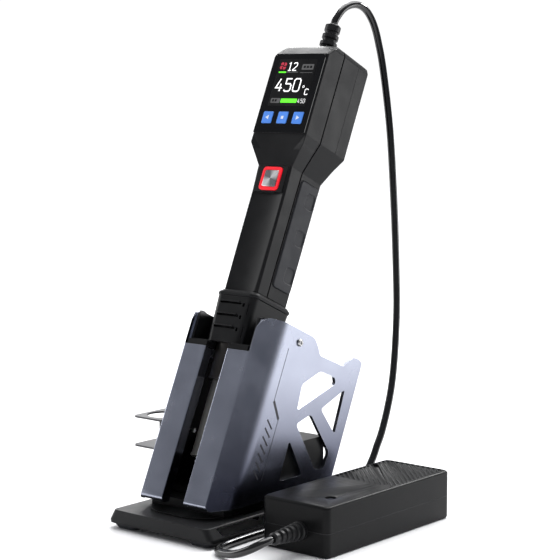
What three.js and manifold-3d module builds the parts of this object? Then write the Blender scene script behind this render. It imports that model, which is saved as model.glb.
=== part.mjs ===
// Hot air rework station: a digital hot air handpiece parked in a leaning sheet-metal stand,
// with its power adapter beside it and the cable that joins them.
// Units are millimetres, +Z is up, -Y is the front, and the handpiece leans back towards +Y.

import * as THREE from 'three';
import { mergeVertices } from 'three/addons/utils/BufferGeometryUtils.js';
import Module from 'manifold-3d';

const wasm = await Module();
wasm.setup();

// ---------------------------------------------------------------- driving dimensions

const GAP = 0.3;                                  // air between neighbouring pieces
const LEAN = THREE.MathUtils.degToRad(24.5);      // how far the stand leans back
const LEAN_ORIGIN = [0, -45, 27.7];               // foot of the stand's front face

const base = {
  frontY: -61, rearY: 106, deckHalf: 47.5, skirtHalf: 52.6,
  deckZ: 15, skirtZ: 6.6, bottomZ: 4, wall: 2.4,
  windowFrontY: -50, windowRearY: 92,
};

const plate = {
  sheet: 3, slotHalf: 11, frontHalf: 33, sideHalf: 44, flareDepth: 20.6,
  depth: 127.6, rearFlange: 6.5, slotFlange: 9.5, bottomZ: 23.3, stripTop: 120, top: 150.6,
};

const cradle = { bottom: 120.3, floorTop: 125.6, top: 151, back: 61, wall: 2.4 };

const rack = {
  frontY: -11, rearY: 49, webRearY: 40, outerX: -75, sheet: 1.5,
  upperZ: 76.5, lowerZ: 53.5, holeRadius: 13, holeX: -58.5, holeYs: [7, 36],
};

const adapter = {
  lowX: 70.5, highX: 131.6, frontY: -24.5, rearY: 129.7, height: 38,
  splitZ: 18, wall: 2, cornerRadius: 4,
};

const SEAM = 22;                                  // depth of the seam between the handpiece shells
const SHELL_WALL = 2.2;
const HANDLE_BOTTOM = 168.6;
const tube = {
  depth: 24.3, sleeveRadius: 16.3, sleeveBottom: 97, sleeveTop: 129.5, nozzleRadius: 12, nozzleBottom: 37,
};
const collar = { bottom: 126, top: 167, rimBottom: 163.5 };
const key = { size: 10, at: [-15.4, 0, 15.4], height: 310.5, travel: 0.5 };
const power = { height: 261.5, ring: 19.4, cap: 13.8, travel: 0.8 };
const fan = { depth: 28, bottom: 176, radius: 14.2 };
const boot = { depth: 29.3, bottom: 378.1, top: 404 };

const CABLE_RADIUS = 3.05;
const CABLE_SIDES = 12;

// ---------------------------------------------------------------- solids and how they are cut

function solid(geometry) {
  const bare = geometry.clone();
  bare.deleteAttribute('normal');
  bare.deleteAttribute('uv');
  const welded = mergeVertices(bare, 1e-4);
  return new wasm.Manifold(new wasm.Mesh({
    numProp: 3,
    vertProperties: new Float32Array(welded.attributes.position.array),
    triVerts: new Uint32Array(welded.index.array),
  }));
}

function surface(manifold) {
  const mesh = manifold.getMesh();
  const geometry = new THREE.BufferGeometry();
  geometry.setAttribute('position', new THREE.BufferAttribute(mesh.vertProperties, 3));
  geometry.setIndex(new THREE.BufferAttribute(mesh.triVerts, 1));
  geometry.computeVertexNormals();
  return geometry;
}

function join(first, ...others) {
  return surface(others.reduce((sum, piece) => sum.add(solid(piece)), solid(first)));
}

function cut(body, ...tools) {
  return surface(tools.reduce((rest, tool) => rest.subtract(solid(tool)), solid(body)));
}

function common(first, second) {
  return surface(solid(first).intersect(solid(second)));
}

// A block from one corner to the opposite one.
function block([x0, x1], [y0, y1], [z0, z1]) {
  const geometry = new THREE.BoxGeometry(x1 - x0, y1 - y0, z1 - z0);
  return geometry.translate((x0 + x1) / 2, (y0 + y1) / 2, (z0 + z1) / 2);
}

// A closed outline whose corners are rounded; a third number on a point is its own radius.
function rounded(points, radius = 0, steps = 3) {
  const outline = [];
  points.forEach(([x, y, own = radius], i) => {
    const corner = new THREE.Vector2(x, y);
    const before = points[(i + points.length - 1) % points.length];
    const after = points[(i + 1) % points.length];
    const toBefore = new THREE.Vector2(before[0], before[1]).sub(corner);
    const toAfter = new THREE.Vector2(after[0], after[1]).sub(corner);
    const reach = Math.min(own, toBefore.length() * 0.48, toAfter.length() * 0.48);
    if (reach < 0.01) {
      outline.push([x, y]);
      return;
    }
    const start = corner.clone().add(toBefore.setLength(reach));
    const end = corner.clone().add(toAfter.setLength(reach));
    const arc = new THREE.QuadraticBezierCurve(start, corner, end);
    arc.getPoints(steps).forEach((p) => outline.push([p.x, p.y]));
  });
  return outline;
}

function rectangle([x0, x1], [y0, y1], radius = 0, steps = 3) {
  return rounded([[x0, y0], [x1, y0], [x1, y1], [x0, y1]], radius, steps);
}

// An outline in X and Y drawn out along Z.
function prismZ(outline, z0, z1) {
  const shape = new THREE.Shape(outline.map(([x, y]) => new THREE.Vector2(x, y)));
  const geometry = new THREE.ExtrudeGeometry(shape, { depth: z1 - z0, bevelEnabled: false, steps: 1 });
  return geometry.translate(0, 0, z0);
}

// An outline in Y and Z drawn out along X.
function prismX(outline, x0, x1) {
  const turn = new THREE.Matrix4().set(0, 0, 1, 0, 1, 0, 0, 0, 0, 1, 0, 0, 0, 0, 0, 1);
  return prismZ(outline, x0, x1).applyMatrix4(turn);
}

// An outline in X and Z drawn out along Y.
function prismY(outline, y0, y1) {
  return prismZ(outline, -y1, -y0).rotateX(Math.PI / 2);
}

// A solid skinned over a stack of outlines with equal point counts, each [height, outline].
function loft(layers) {
  const count = layers[0][1].length;
  const positions = layers.flatMap(([z, outline]) => outline.flatMap(([x, y]) => [x, y, z]));
  const index = [];
  for (let layer = 0; layer + 1 < layers.length; layer += 1) {
    for (let i = 0; i < count; i += 1) {
      const a = layer * count + i;
      const b = layer * count + ((i + 1) % count);
      index.push(a, b, b + count, a, b + count, a + count);
    }
  }
  const capPoints = ([, outline]) => outline.map(([x, y]) => new THREE.Vector2(x, y));
  const last = (layers.length - 1) * count;
  for (const [a, b, c] of THREE.ShapeUtils.triangulateShape(capPoints(layers[0]), [])) {
    index.push(a, c, b);
  }
  for (const [a, b, c] of THREE.ShapeUtils.triangulateShape(capPoints(layers.at(-1)), [])) {
    index.push(last + a, last + b, last + c);
  }
  const geometry = new THREE.BufferGeometry();
  geometry.setAttribute('position', new THREE.Float32BufferAttribute(positions, 3));
  geometry.setIndex(index);
  geometry.computeVertexNormals();
  return geometry;
}

// A turned solid about Z; the profile is [radius, height] and starts and ends on the axis,
// or closes on itself for a ring.
function turned(profile, segments = 24) {
  const points = profile.map(([r, z]) => new THREE.Vector2(r, z));
  return new THREE.LatheGeometry(points, segments).rotateX(Math.PI / 2);
}

function rod(radius, z0, z1, segments = 24) {
  return turned([[0, z0], [radius, z0], [radius, z1], [0, z1]], segments);
}

function ring(outer, inner, z0, z1, segments = 24) {
  return turned([[inner, z0], [outer, z0], [outer, z1], [inner, z1], [inner, z0]], segments);
}

function alongX(geometry) {
  return geometry.rotateY(Math.PI / 2);
}

function alongY(geometry) {
  return geometry.rotateX(-Math.PI / 2);
}

// A strip of sheet metal bent along a path; the sheet's thickness lies to the left of the path.
function bentSheet(path, sheet) {
  const inner = path.map(([x, y], i) => {
    const before = i > 0 ? path[i - 1] : null;
    const after = i + 1 < path.length ? path[i + 1] : null;
    const directions = [];
    if (before) directions.push(new THREE.Vector2(x - before[0], y - before[1]).normalize());
    if (after) directions.push(new THREE.Vector2(after[0] - x, after[1] - y).normalize());
    const normals = directions.map((d) => new THREE.Vector2(-d.y, d.x));
    const bisector = normals.reduce((sum, n) => sum.clone().add(n)).normalize();
    const reach = sheet / bisector.dot(normals[0]);
    return [x + bisector.x * reach, y + bisector.y * reach];
  });
  return [...path, ...inner.reverse()];
}

// ---------------------------------------------------------------- finishes and assembly

function finish(color, roughness, metalness = 0) {
  return new THREE.MeshStandardMaterial({ color, roughness, metalness });
}

const blackPlastic = finish(0x17181a, 0.6);
const shellPlastic = finish(0x2b2c2f, 0.5);
const rubber = finish(0x232529, 0.85);
const cableRubber = finish(0x0c0c0d, 0.4);
const anodised = finish(0x8b90a3, 0.35, 0.9);
const greySheet = finish(0xb4b6ba, 0.4, 0.9);
const steel = finish(0xa9abad, 0.3, 1);
const glass = finish(0x08090b, 0.08);
const screen = finish(0x101418, 0.3);
const blueKey = finish(0x4f8ff0, 0.4);
const redLight = finish(0xd81522, 0.35);
const brushed = finish(0xb5b5b8, 0.3, 1);
const circuit = finish(0x1f5b3a, 0.6);
const copper = finish(0xb06a35, 0.4, 0.9);
const ceramic = finish(0xd8d4c8, 0.7);

function add(parent, name, geometry, material) {
  const mesh = new THREE.Mesh(geometry, material);
  mesh.name = name;
  parent.add(mesh);
  return mesh;
}

function group(parent, name) {
  const node = new THREE.Group();
  node.name = name;
  parent.add(node);
  return node;
}

// The leaning frame's depth and height of a point given by its upright Y and Z.
function leaning(y, z) {
  const dy = y - LEAN_ORIGIN[1];
  const dz = z - LEAN_ORIGIN[2];
  return [dy * Math.cos(LEAN) - dz * Math.sin(LEAN), dy * Math.sin(LEAN) + dz * Math.cos(LEAN)];
}

// The upright Y and Z of a point given by its depth and height in the leaning frame.
function upright(depth, height) {
  return [
    LEAN_ORIGIN[1] + height * Math.sin(LEAN) + depth * Math.cos(LEAN),
    LEAN_ORIGIN[2] + height * Math.cos(LEAN) - depth * Math.sin(LEAN),
  ];
}

// ---------------------------------------------------------------- stand: base

// Moulded base: a flat deck over a sloped skirt, hollow and open below, with a long window
// in each side above the bottom rail.
function baseShell() {
  const { frontY, rearY, deckHalf, skirtHalf, deckZ, skirtZ, bottomZ, wall } = base;
  const outline = (half, inset) => rectangle([-half, half], [frontY + inset, rearY - inset], 7);
  const outer = loft([
    [bottomZ, outline(skirtHalf, 0.6)],
    [skirtZ, outline(skirtHalf, 0)],
    [deckZ, outline(deckHalf, 0)],
  ]);
  const inner = loft([
    [bottomZ - 1, outline(skirtHalf - wall, wall)],
    [skirtZ, outline(skirtHalf - wall, wall)],
    [deckZ - wall, outline(deckHalf - wall, wall)],
  ]);
  const side = [
    [base.windowFrontY, deckZ - 1.4], [base.windowFrontY + 4, skirtZ + 0.2],
    [base.windowRearY - 4, skirtZ + 0.2], [base.windowRearY, deckZ - 1.4],
  ];
  return cut(outer, inner, prismX(side, -60, 60));
}

// Tapered rubber foot under one corner of the base.
function foot(x, y) {
  return loft([
    [0, rectangle([x - 9, x + 9], [y - 7, y + 7], 4)],
    [base.bottomZ - GAP, rectangle([x - 12, x + 12], [y - 9, y + 9], 5)],
  ]);
}

// Black moulded core between the side plates: a low pad with a bowed front, the plinth
// the plates stand on and the upright block they are screwed to.
function standCore() {
  const bow = rounded([[-38, 92], [-38, -28], [-22, -47], [22, -47], [38, -28], [38, 92]], 14);
  const bowedPad = prismZ(bow, base.deckZ + GAP, base.deckZ + 1.3);
  const plinth = block([-37, 37], [-29, 90], [base.deckZ + GAP, plate.bottomZ - GAP]);
  const inner = plate.sideHalf - plate.sheet - GAP;
  const floor = block([-inner, inner], [-14, 86], [plate.bottomZ - 2, plate.bottomZ + 3]);
  const upstand = block([-inner, inner], [24, 86], [plate.bottomZ, 60]);
  const screwHoles = plateScrewHeights().map(([y, z]) => (
    alongX(rod(1.7, -50, 50, 12)).translate(0, y, z)));
  return cut(join(bowedPad, plinth, floor, upstand), ...screwHoles);
}

// Upright Y and Z of the screws that hold each side plate to the stand core.
function plateScrewHeights() {
  return [[36, 28.5], [80, 28.5]];
}

// ---------------------------------------------------------------- stand: sheet metal

// The side outline of a plate in the leaning frame's depth and height.
function plateOutline() {
  const [, frontBottom] = leaning(LEAN_ORIGIN[1] - 1.9, plate.bottomZ);
  const [rearDepth, rearBottom] = leaning(93, plate.bottomZ);
  return rounded([
    [-1, frontBottom + 0.5, 0], [rearDepth + 2, rearBottom + 0.9, 3], [plate.depth + 1, 148.5, 1.5],
    [plate.depth - 2, 150.4, 1.5], [120.5, 152, 2.5], [112.8, 151.2, 2.5], [102.8, 140.8, 1.5],
    [70.9, 139.6, 2.5], [66, 145, 0], [58.7, plate.top, 4], [18, plate.top, 2],
    [6, 149.5, 6], [-1, 137, 8],
  ], 0);
}

// Lightening windows in the side of a plate, as outlines of depth and height.
function plateWindows() {
  return [
    [[76.8, 128.8], [96, 129.6], [99.2, 125], [61, 92], [58.7, 112.5]],
    [[112.9, 124.5], [89.5, 101.3], [115, 87.5]],
    [[79, 94.2], [64.5, 82], [102, 55], [112.5, 59], [114, 72.5]],
    [[61.8, 68.2], [62.3, 35.6], [88, 47.6]],
  ].map((outline) => rounded(outline, 3.2));
}

const cradleScrew = [42.1, 141.2];                // depth and height of the screw near the top

function sidePlate(side) {
  const p = plate;
  const path = [
    [p.slotHalf, p.slotFlange], [p.slotHalf, 0], [p.frontHalf, 0], [p.sideHalf, p.flareDepth],
    [p.sideHalf, p.depth], [p.sideHalf - p.rearFlange, p.depth],
  ];
  const section = rounded(bentSheet(path, p.sheet), 1.2, 2);
  const folded = common(prismZ(section, -12, 156), prismX(plateOutline(), 0, 50));
  const handpieceWindow = block([0, p.frontHalf], [-1, 4.4], [p.stripTop, 160]);
  const slotFlangeEnd = block([0, p.slotHalf + 3.1], [3, 12], [p.stripTop - 1, 160]);
  const windows = plateWindows().map((outline) => prismX(outline, 30, 50));
  const screwHole = alongX(rod(1.8, 35, 50, 12)).translate(0, cradleScrew[0], cradleScrew[1]);
  const footHoles = plateScrewHeights().map(([y, z]) => {
    const [depth, height] = leaning(y, z);
    return alongX(rod(1.8, 35, 50, 12)).translate(0, depth, height);
  });
  const tools = [handpieceWindow, slotFlangeEnd, ...windows, screwHole, ...footHoles];
  if (side < 0) {
    for (const [y, z] of rackScrews()) {
      const [depth, height] = leaning(y, z);
      tools.push(alongX(rod(1.8, 35, 50, 12)).translate(0, depth, height));
    }
  }
  const right = cut(folded, ...tools);
  if (side > 0) return right;
  return surface(solid(right).mirror([1, 0, 0]));
}

// Upright Y and Z of the screws that hold the nozzle rack.
function rackScrews() {
  return [[16.3, 65], [31, 65]];
}

// Pan-head screw along X, its head towards +X at the given face.
function sideScrew(faceX, y, z, length) {
  const profile = [
    [0, faceX - length], [1.4, faceX - length], [1.4, faceX + GAP], [2.9, faceX + GAP],
    [2.9, faceX + 1.1], [2.2, faceX + 1.8], [0, faceX + 1.8],
  ];
  return alongX(turned(profile, 16)).translate(0, y, z);
}

// One C-shaped sheet: two shelves off a web; the upper shelf holds spare nozzles by their
// flanges and the lower one carries their tips.
function nozzleRack() {
  const webX = -plate.sideHalf - GAP;
  const { sheet, upperZ, lowerZ, outerX, frontY, rearY } = rack;
  const shelf = (top) => prismZ(
    rounded([[webX, frontY], [webX, rearY], [outerX, rearY, 5], [outerX, frontY, 5]]), top - sheet, top,
  );
  const web = block([webX - sheet, webX], [frontY, rack.webRearY], [lowerZ - sheet, upperZ]);
  const holes = rack.holeYs.map((y) => (
    rod(rack.holeRadius, upperZ - 5, upperZ + 5, 32).translate(rack.holeX, y, 0)));
  const screws = rackScrews().map(([y, z]) => alongX(rod(1.8, -60, -40, 12)).translate(0, y, z));
  return cut(join(web, shelf(upperZ), shelf(lowerZ)), ...holes, ...screws);
}

// ---------------------------------------------------------------- stand: cradle

// Heat-proof liner between the tops of the plates. The collar stands on its floor and the
// heater tube passes through the hole.
function cradleBody() {
  const { bottom, floorTop, top, back, wall } = cradle;
  const outer = [
    [30.6, 0.4], [30.9, 3.6], [39.8, 21], [40.6, 23.4], [40.6, back],
    [-40.6, back], [-40.6, 23.4], [-39.8, 21], [-30.9, 3.6], [-30.6, 0.4],
  ];
  const solidBody = prismZ(outer, bottom, top);
  const mouth = prismZ([
    [29.2, 0], [29.2, 3.6], [37.4 - wall, 18], [37.4 - wall, 26],
    [-37.4 + wall, 26], [-37.4 + wall, 18], [-29.2, 3.6], [-29.2, 0],
  ], floorTop, top + 1);
  const seat = block([-21, 21], [20, 56], [floorTop, top + 1]);
  const frontStep = block([-45, 45], [-1, 3.7], [floorTop - 1.4, top + 1]);
  const sideRelief = (sign) => (
    block([sign > 0 ? 24 : -38, sign > 0 ? 38 : -24], [29, back - 3], [bottom + 3, top + 1]));
  const tubeHole = rod(tube.sleeveRadius + 1.1, bottom - 1, floorTop + 1, 32).translate(0, tube.depth, 0);
  const frontNotch = block([-plate.slotHalf, plate.slotHalf], [-1, tube.depth], [bottom - 1, floorTop + 1]);
  const screws = alongX(rod(1.6, -60, 60, 12)).translate(0, cradleScrew[0], cradleScrew[1]);
  return cut(solidBody, mouth, seat, frontStep, sideRelief(1), sideRelief(-1), tubeHole, frontNotch, screws);
}

// ---------------------------------------------------------------- power adapter

// Half of the adapter's case: closed towards outerZ, open towards splitZ.
function adapterHalf(splitZ, outerZ) {
  const { lowX, highX, frontY, rearY, wall, cornerRadius } = adapter;
  const sign = Math.sign(outerZ - splitZ);
  const outline = (inset) => (
    rectangle([lowX + inset, highX - inset], [frontY + inset, rearY - inset], cornerRadius, 4));
  const layers = [[splitZ, outline(0)], [outerZ - 1.6 * sign, outline(0)],
    [outerZ - 0.5 * sign, outline(0.5)], [outerZ, outline(1.6)]];
  const cavity = [[splitZ - sign, outline(wall)], [outerZ - wall * sign, outline(wall)]];
  const upwards = (stack) => (sign > 0 ? stack : stack.reverse());
  const inletHole = block([87, 115], [rearY - 5, rearY + 5], [8.7, 28.3]);
  return cut(loft(upwards(layers)), loft(upwards(cavity)), inletHole);
}

const ledLensAt = [115, 0.6];

function adapterTop() {
  const [x, y] = ledLensAt;
  const ledHole = rod(4.4, adapter.height - 5, adapter.height + 5, 24).translate(x, y, 0);
  return cut(adapterHalf(adapter.splitZ + GAP, adapter.height), ledHole);
}

function ledLens() {
  const [x, y] = ledLensAt;
  const profile = [[0, 33], [5.5, 33], [5.5, 35.7], [4.1, 35.7], [4.1, 37.4], [0, 37.4]];
  return turned(profile, 24).translate(x, y, 0);
}

// Mains inlet: a moulded socket with a deep pocket, open towards +Y.
function mainsInlet() {
  const rear = adapter.rearY;
  const body = block([87.3, 114.7], [rear - 20, rear - 0.4], [9, 28]);
  const pocketOutline = [[89.3, 11], [112.7, 11], [112.7, 22.4], [108.5, 26.2], [93.5, 26.2], [89.3, 22.4]];
  const pocket = prismY(pocketOutline, rear - 16, rear + 1);
  const pinHoles = inletPins.map(([x, z]) => (
    block([x - 1.3, x + 1.3], [rear - 21, rear - 10], [z - 2.3, z + 2.3])));
  return cut(body, pocket, ...pinHoles);
}

const inletPins = [[94, 16.8], [101, 20.8], [108, 16.8]];

function inletPin([x, z]) {
  return block([x - 1, x + 1], [adapter.rearY - 24, adapter.rearY - 4], [z - 2, z + 2]);
}

function adapterBoard() {
  const board = block([76, 126], [-15, 100], [6, 7.6]);
  const connector = block([102, 112], [-14, -4], [7.6, 14]);
  return join(board, connector);
}

function adapterTransformer() {
  const core = block([84, 118], [34, 66], [7.9, 30]);
  const windings = alongY(rod(9.5, 29, 71, 20)).translate(101, 0, 19.5);
  return join(core, windings);
}

function heatSink() {
  const plateBar = block([77, 79], [0, 90], [7.9, 31]);
  const fins = Array.from({ length: 8 }, (_, i) => block([79, 82.5], [4 + 11 * i, 6 + 11 * i], [9, 31]));
  return join(plateBar, ...fins);
}

// A tapered strain relief of stacked rings along Z, from a wide base to its tip.
function strainRelief(length, baseRadius, tipRadius, rings) {
  const profile = [[0, 0], [baseRadius, 0]];
  const pitch = length / rings;
  for (let i = 0; i < rings; i += 1) {
    const outer = THREE.MathUtils.lerp(baseRadius, tipRadius, i / (rings - 1));
    const top = i + 1 < rings ? (i + 0.62) * pitch : length;
    profile.push([outer, i * pitch + 0.6], [outer - 0.2, top]);
    if (i + 1 < rings) profile.push([outer - 1.6, top + 0.2], [outer - 1.6, (i + 1) * pitch]);
  }
  profile.push([0, length]);
  return turned(profile, 20);
}

const adapterBootAt = { x: 107, z: 17.5, length: 31 };

function adapterBoot() {
  const stem = strainRelief(adapterBootAt.length, 7, 4.6, 6).rotateX(Math.PI / 2);
  return stem.translate(adapterBootAt.x, adapter.frontY - GAP, adapterBootAt.z);
}

// ---------------------------------------------------------------- handpiece: shells

// A section of the handpiece. Its front panel is frontCut narrower than the width on each
// side, with an edge that may stand forward of it; the back may be narrower than the front.
function shellSection(section, inset = 0) {
  const { half, front, back, frontCut = 1.5, edge = front + frontCut, rearHalf = half } = section;
  const corner = 3;
  const h = half - inset;
  const r = rearHalf - inset;
  const b = back - inset;
  return [
    [-h + frontCut, front + inset], [h - frontCut, front + inset], [h, edge + inset],
    [r, 20], [r, b - corner], [r - corner, b],
    [-r + corner, b], [-r, b - corner], [-r, 20], [-h, edge + inset],
  ];
}

const handpieceSections = [
  [HANDLE_BOTTOM, { half: 17, front: 8.3, back: 50 }],
  [250, { half: 17, front: 7.6, back: 50 }],
  [272.5, { half: 17.2, front: 6.8, back: 50.5, frontCut: 1 }],
  [285.5, { half: 24.5, front: 4.1, back: 54, frontCut: 7.5, edge: 3.2, rearHalf: 22.2 }],
  [290, { half: 27, front: 3, back: 55.5, frontCut: 6.4, edge: 1.8, rearHalf: 24.1 }],
  [297.5, { half: 27, front: 1.3, back: 58.5, frontCut: 1 }],
  [366, { half: 27, front: 1.3, back: 58.5, frontCut: 1 }],
  [372.5, { half: 27, front: 7.1, back: 58.5, frontCut: 1.4 }],
  [376, { half: 25.8, front: 10.4, back: 57.5, frontCut: 1.8 }],
  [377.5, { half: 23.5, front: 12.3, back: 55.3, frontCut: 2 }],
];

function handpieceHull() {
  return loft(handpieceSections.map(([height, section]) => [height, shellSection(section)]));
}

function handpieceCavity() {
  const layers = handpieceSections.map(([height, section]) => (
    [Math.min(height, 374.6), shellSection(section, SHELL_WALL)]));
  layers[0][0] = HANDLE_BOTTOM - 5;
  return loft(layers);
}

function squarePrism(x, height, size, depth0, depth1, radius = 1.4) {
  const h = size / 2;
  return prismY(rectangle([x - h, x + h], [height - h, height + h], radius), depth0, depth1);
}

function frontShell() {
  const half = common(handpieceHull(), block([-60, 60], [-20, SEAM], [100, 420]));
  const displayOpening = block([-19, 19], [-5, 8], [319, 362]);
  const keyHoles = key.at.map((x) => squarePrism(x, key.height, key.size + 2 * GAP, -5, 8));
  const powerHole = squarePrism(0, power.height, power.ring + 2 * GAP, 0, 14, 3.5);
  const panelRecess = block([-15.1, 15.1], [0, 8.3], [250.2, 272.6]);
  return cut(half, handpieceCavity(), displayOpening, ...keyHoles, powerHole, panelRecess);
}

const shellScrews = [[-10.5, 186, 50], [10.5, 186, 50], [-13, 308, 58.5], [13, 308, 58.5]];

function rearShell() {
  const half = common(handpieceHull(), block([-60, 60], [SEAM + GAP, 80], [100, 420]));
  const grille = Array.from({ length: 7 }, (_, i) => (
    block([-13, 13], [50, 65], [328 + 4.6 * i, 330 + 4.6 * i])));
  const screwWells = shellScrews.flatMap(([x, height, back]) => [
    alongY(rod(2.7, back - 1.4, back + 3, 16)).translate(x, 0, height),
    alongY(rod(1.6, back - 8, back + 3, 12)).translate(x, 0, height),
  ]);
  const gripSeats = [-1, 1].map((side) => gripBlock(side, GAP));
  return cut(half, handpieceCavity(), ...grille, ...screwWells, ...gripSeats);
}

// Soft pad let into the side of the handle; grow widens it to cut its own seat.
function gripBlock(side, grow) {
  const outline = rounded([
    [23.4 - grow, 179 - grow], [23.4 - grow, 268 + grow],
    [46.6 + grow, 268 + grow], [46.6 + grow, 179 - grow],
  ], 2.5);
  const inner = 15.9 - grow;
  return prismX(outline, side > 0 ? inner : -17.6, side > 0 ? 17.6 : -inner);
}

function gripPad(side) {
  return gripBlock(side, 0);
}

function shellScrew([x, height, back]) {
  const profile = [
    [0, back - 7], [1.3, back - 7], [1.3, back - 1.1], [2.4, back - 1.1], [2.4, back], [0, back],
  ];
  return alongY(turned(profile, 14)).translate(x, 0, height);
}

// ---------------------------------------------------------------- handpiece: front details

function displayLens() {
  const outline = rounded([[-26, 299.4, 1], [26, 299.4, 1], [26, 365.4, 3.5], [-26, 365.4, 3.5]]);
  const holes = key.at.map((x) => squarePrism(x, key.height, key.size + 2 * GAP, -1, 2));
  return cut(prismY(outline, 0.2, 1), ...holes);
}

function displayModule() {
  return block([-18.6, 18.6], [1.4, 5.4], [319.4, 361.6]);
}

function keyBoard() {
  const board = block([-22, 22], [7, 8.6], [303, 318]);
  const domes = key.at.map((x) => (
    alongY(rod(2.6, 4.7, 7.2, 14)).translate(x, 0, key.height)));
  return join(board, ...domes);
}

function keyCap(x) {
  return squarePrism(x, key.height, key.size, -0.1, 4, 1.2);
}

function buttonPanel() {
  const panel = block([-14.8, 14.8], [6.7, 8], [250.5, 272.3]);
  return cut(panel, squarePrism(0, power.height, power.ring + 2 * GAP, 0, 14, 3.5));
}

function powerRing() {
  const outer = squarePrism(0, power.height, power.ring, 6.2, 9.4, 3.4);
  return cut(outer, squarePrism(0, power.height, power.cap + 2 * GAP, 0, 14, 1.8));
}

function powerCap() {
  return squarePrism(0, power.height, power.cap, 6, 10.2, 1.6);
}

function powerSwitch() {
  const body = block([-3.5, 3.5], [13, 17], [power.height - 3.5, power.height + 3.5]);
  const plunger = alongY(rod(1.6, 11.2, 13.2, 12)).translate(0, 0, power.height);
  return join(body, plunger);
}

function controlBoard() {
  const board = block([-12.5, 12.5], [17.3, 18.9], [206, 290]);
  const chip = block([-4, 4], [18.8, 20.4], [236, 244]);
  const coil = alongY(rod(4, 18.8, 25, 16)).translate(5, 0, 220);
  return join(board, chip, coil);
}

// ---------------------------------------------------------------- handpiece: collar and heater

// Vented collar between the handle and the heater tube, a hollow tapered box open above.
function ventCollar() {
  const section = (half, front, back) => rectangle([-half, half], [front, back], 6, 4);
  const outer = loft([
    [collar.bottom, section(18, 5.7, 49.5)],
    [collar.rimBottom - GAP, section(19.7, 5, 52)],
  ]);
  const inner = loft([
    [collar.bottom + 2.2, section(16, 7.7, 47.5)],
    [collar.top, section(17.8, 7, 50)],
  ]);
  const tubeHole = rod(tube.sleeveRadius + GAP, collar.bottom - 1, collar.bottom + 4, 32);
  const slots = [157.3, 147.3, 137.6].map((height, row) => (
    block([-13 - row * 0.3, 10.6 - row * 0.3], [0, 10], [height - 0.9, height + 0.9])));
  const marks = [[149.3, 158.6], [130.6, 140]].map(([low, high]) => (
    block([15.5, 16.5], [0, 10], [low, high])));
  return cut(outer, inner, tubeHole.translate(0, tube.depth, 0), ...slots, ...marks);
}

// Narrow ring between the collar and the handle's shells.
function collarRing() {
  const outline = (half, front, back) => rectangle([-half, half], [front, back], 6, 4);
  const outer = loft([
    [collar.rimBottom, outline(20.2, 4.6, 52.6)],
    [collar.top - 1.2, outline(20.2, 4.6, 52.6)],
    [collar.top + 1.2, outline(18, 6.4, 51)],
  ]);
  return cut(outer, prismZ(outline(15, 10, 48), 150, 180));
}

// Sleeve under the collar, turned in at its lower end to hold the nozzle.
function heaterSleeve() {
  const { sleeveRadius: r, sleeveBottom: bottom, sleeveTop: top, nozzleRadius } = tube;
  const profile = [
    [nozzleRadius + GAP, bottom], [r, bottom], [r, top], [r - 1, top], [r - 1, bottom + 1],
    [nozzleRadius + GAP, bottom + 1], [nozzleRadius + GAP, bottom],
  ];
  return turned(profile, 32).translate(0, tube.depth, 0);
}

// Steel nozzle pushed up inside the sleeve, with a rolled lip at its mouth.
function nozzle() {
  const r = tube.nozzleRadius;
  const bottom = tube.nozzleBottom;
  const profile = [
    [r - 1, bottom], [r + 0.3, bottom], [r + 0.7, bottom + 0.8], [r + 0.3, bottom + 1.8], [r, bottom + 2],
    [r, 112], [r - 1, 112], [r - 1, bottom],
  ];
  return turned(profile, 32).translate(0, tube.depth, 0);
}

function heaterCore() {
  return ring(8.5, 2.5, 66, 146, 20).translate(0, tube.depth, 0);
}

// ---------------------------------------------------------------- handpiece: fan

function fanHousing() {
  const { bottom, radius } = fan;
  const tunnel = ring(radius, radius - 0.9, bottom, bottom + 14, 32);
  const boss = rod(5.5, bottom + 11.5, bottom + 14, 20);
  const struts = [0, 60, 120].map((angle) => (
    block([-radius + 0.4, radius - 0.4], [-0.8, 0.8], [bottom + 12, bottom + 14])
      .rotateZ(THREE.MathUtils.degToRad(angle))));
  return join(tunnel, boss, ...struts).translate(0, fan.depth, 0);
}

function fanRotor() {
  const { bottom } = fan;
  const hub = rod(4.5, bottom + 1.5, bottom + 10.5, 20);
  const blades = Array.from({ length: 7 }, (_, i) => (
    block([3.5, 12.4], [-0.5, 0.5], [-4, 4])
      .rotateX(THREE.MathUtils.degToRad(38))
      .rotateZ((i / 7) * 2 * Math.PI)
      .translate(0, 0, bottom + 6)));
  return join(hub, ...blades).translate(0, fan.depth, 0);
}

function fanMotor() {
  return rod(8, fan.bottom + 14.3, fan.bottom + 26, 24).translate(0, fan.depth, 0);
}

function headBoot() {
  const stem = strainRelief(boot.top - boot.bottom, 7.4, 6.5, 4);
  return stem.translate(0, boot.depth, boot.bottom);
}

// ---------------------------------------------------------------- cable

// A point of the cable near the place where its two parts meet, this far past it.
function nearMeeting(distance) {
  const heading = new THREE.Vector3(1.2, -15.5, -22.2).normalize();
  return new THREE.Vector3(54.6, 138.4, 45).addScaledVector(heading, distance).toArray();
}

// Centre line of the cable's upper part: out of the head's boot, over and down behind.
const upperRoute = [
  [0, ...upright(boot.depth, boot.top + GAP)],
  [0, ...upright(boot.depth, boot.top + 4)],
  [0.1, 154.2, 390.7], [0.5, 160.2, 396.2], [1, 166.5, 399.3], [1.7, 173.8, 400.8], [2.6, 181.3, 400.1],
  [3.7, 188.1, 396.4], [5.4, 193.5, 389.1], [7.4, 196.3, 380.2], [9.8, 197.8, 368.3], [12.6, 198.8, 353.4],
  [22, 196.8, 302.4], [30, 192.1, 248.1], [38, 185.4, 191.3], [45, 177.1, 142.7],
  [51, 162.7, 90.3], nearMeeting(-13), nearMeeting(-4), nearMeeting(0),
];

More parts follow.
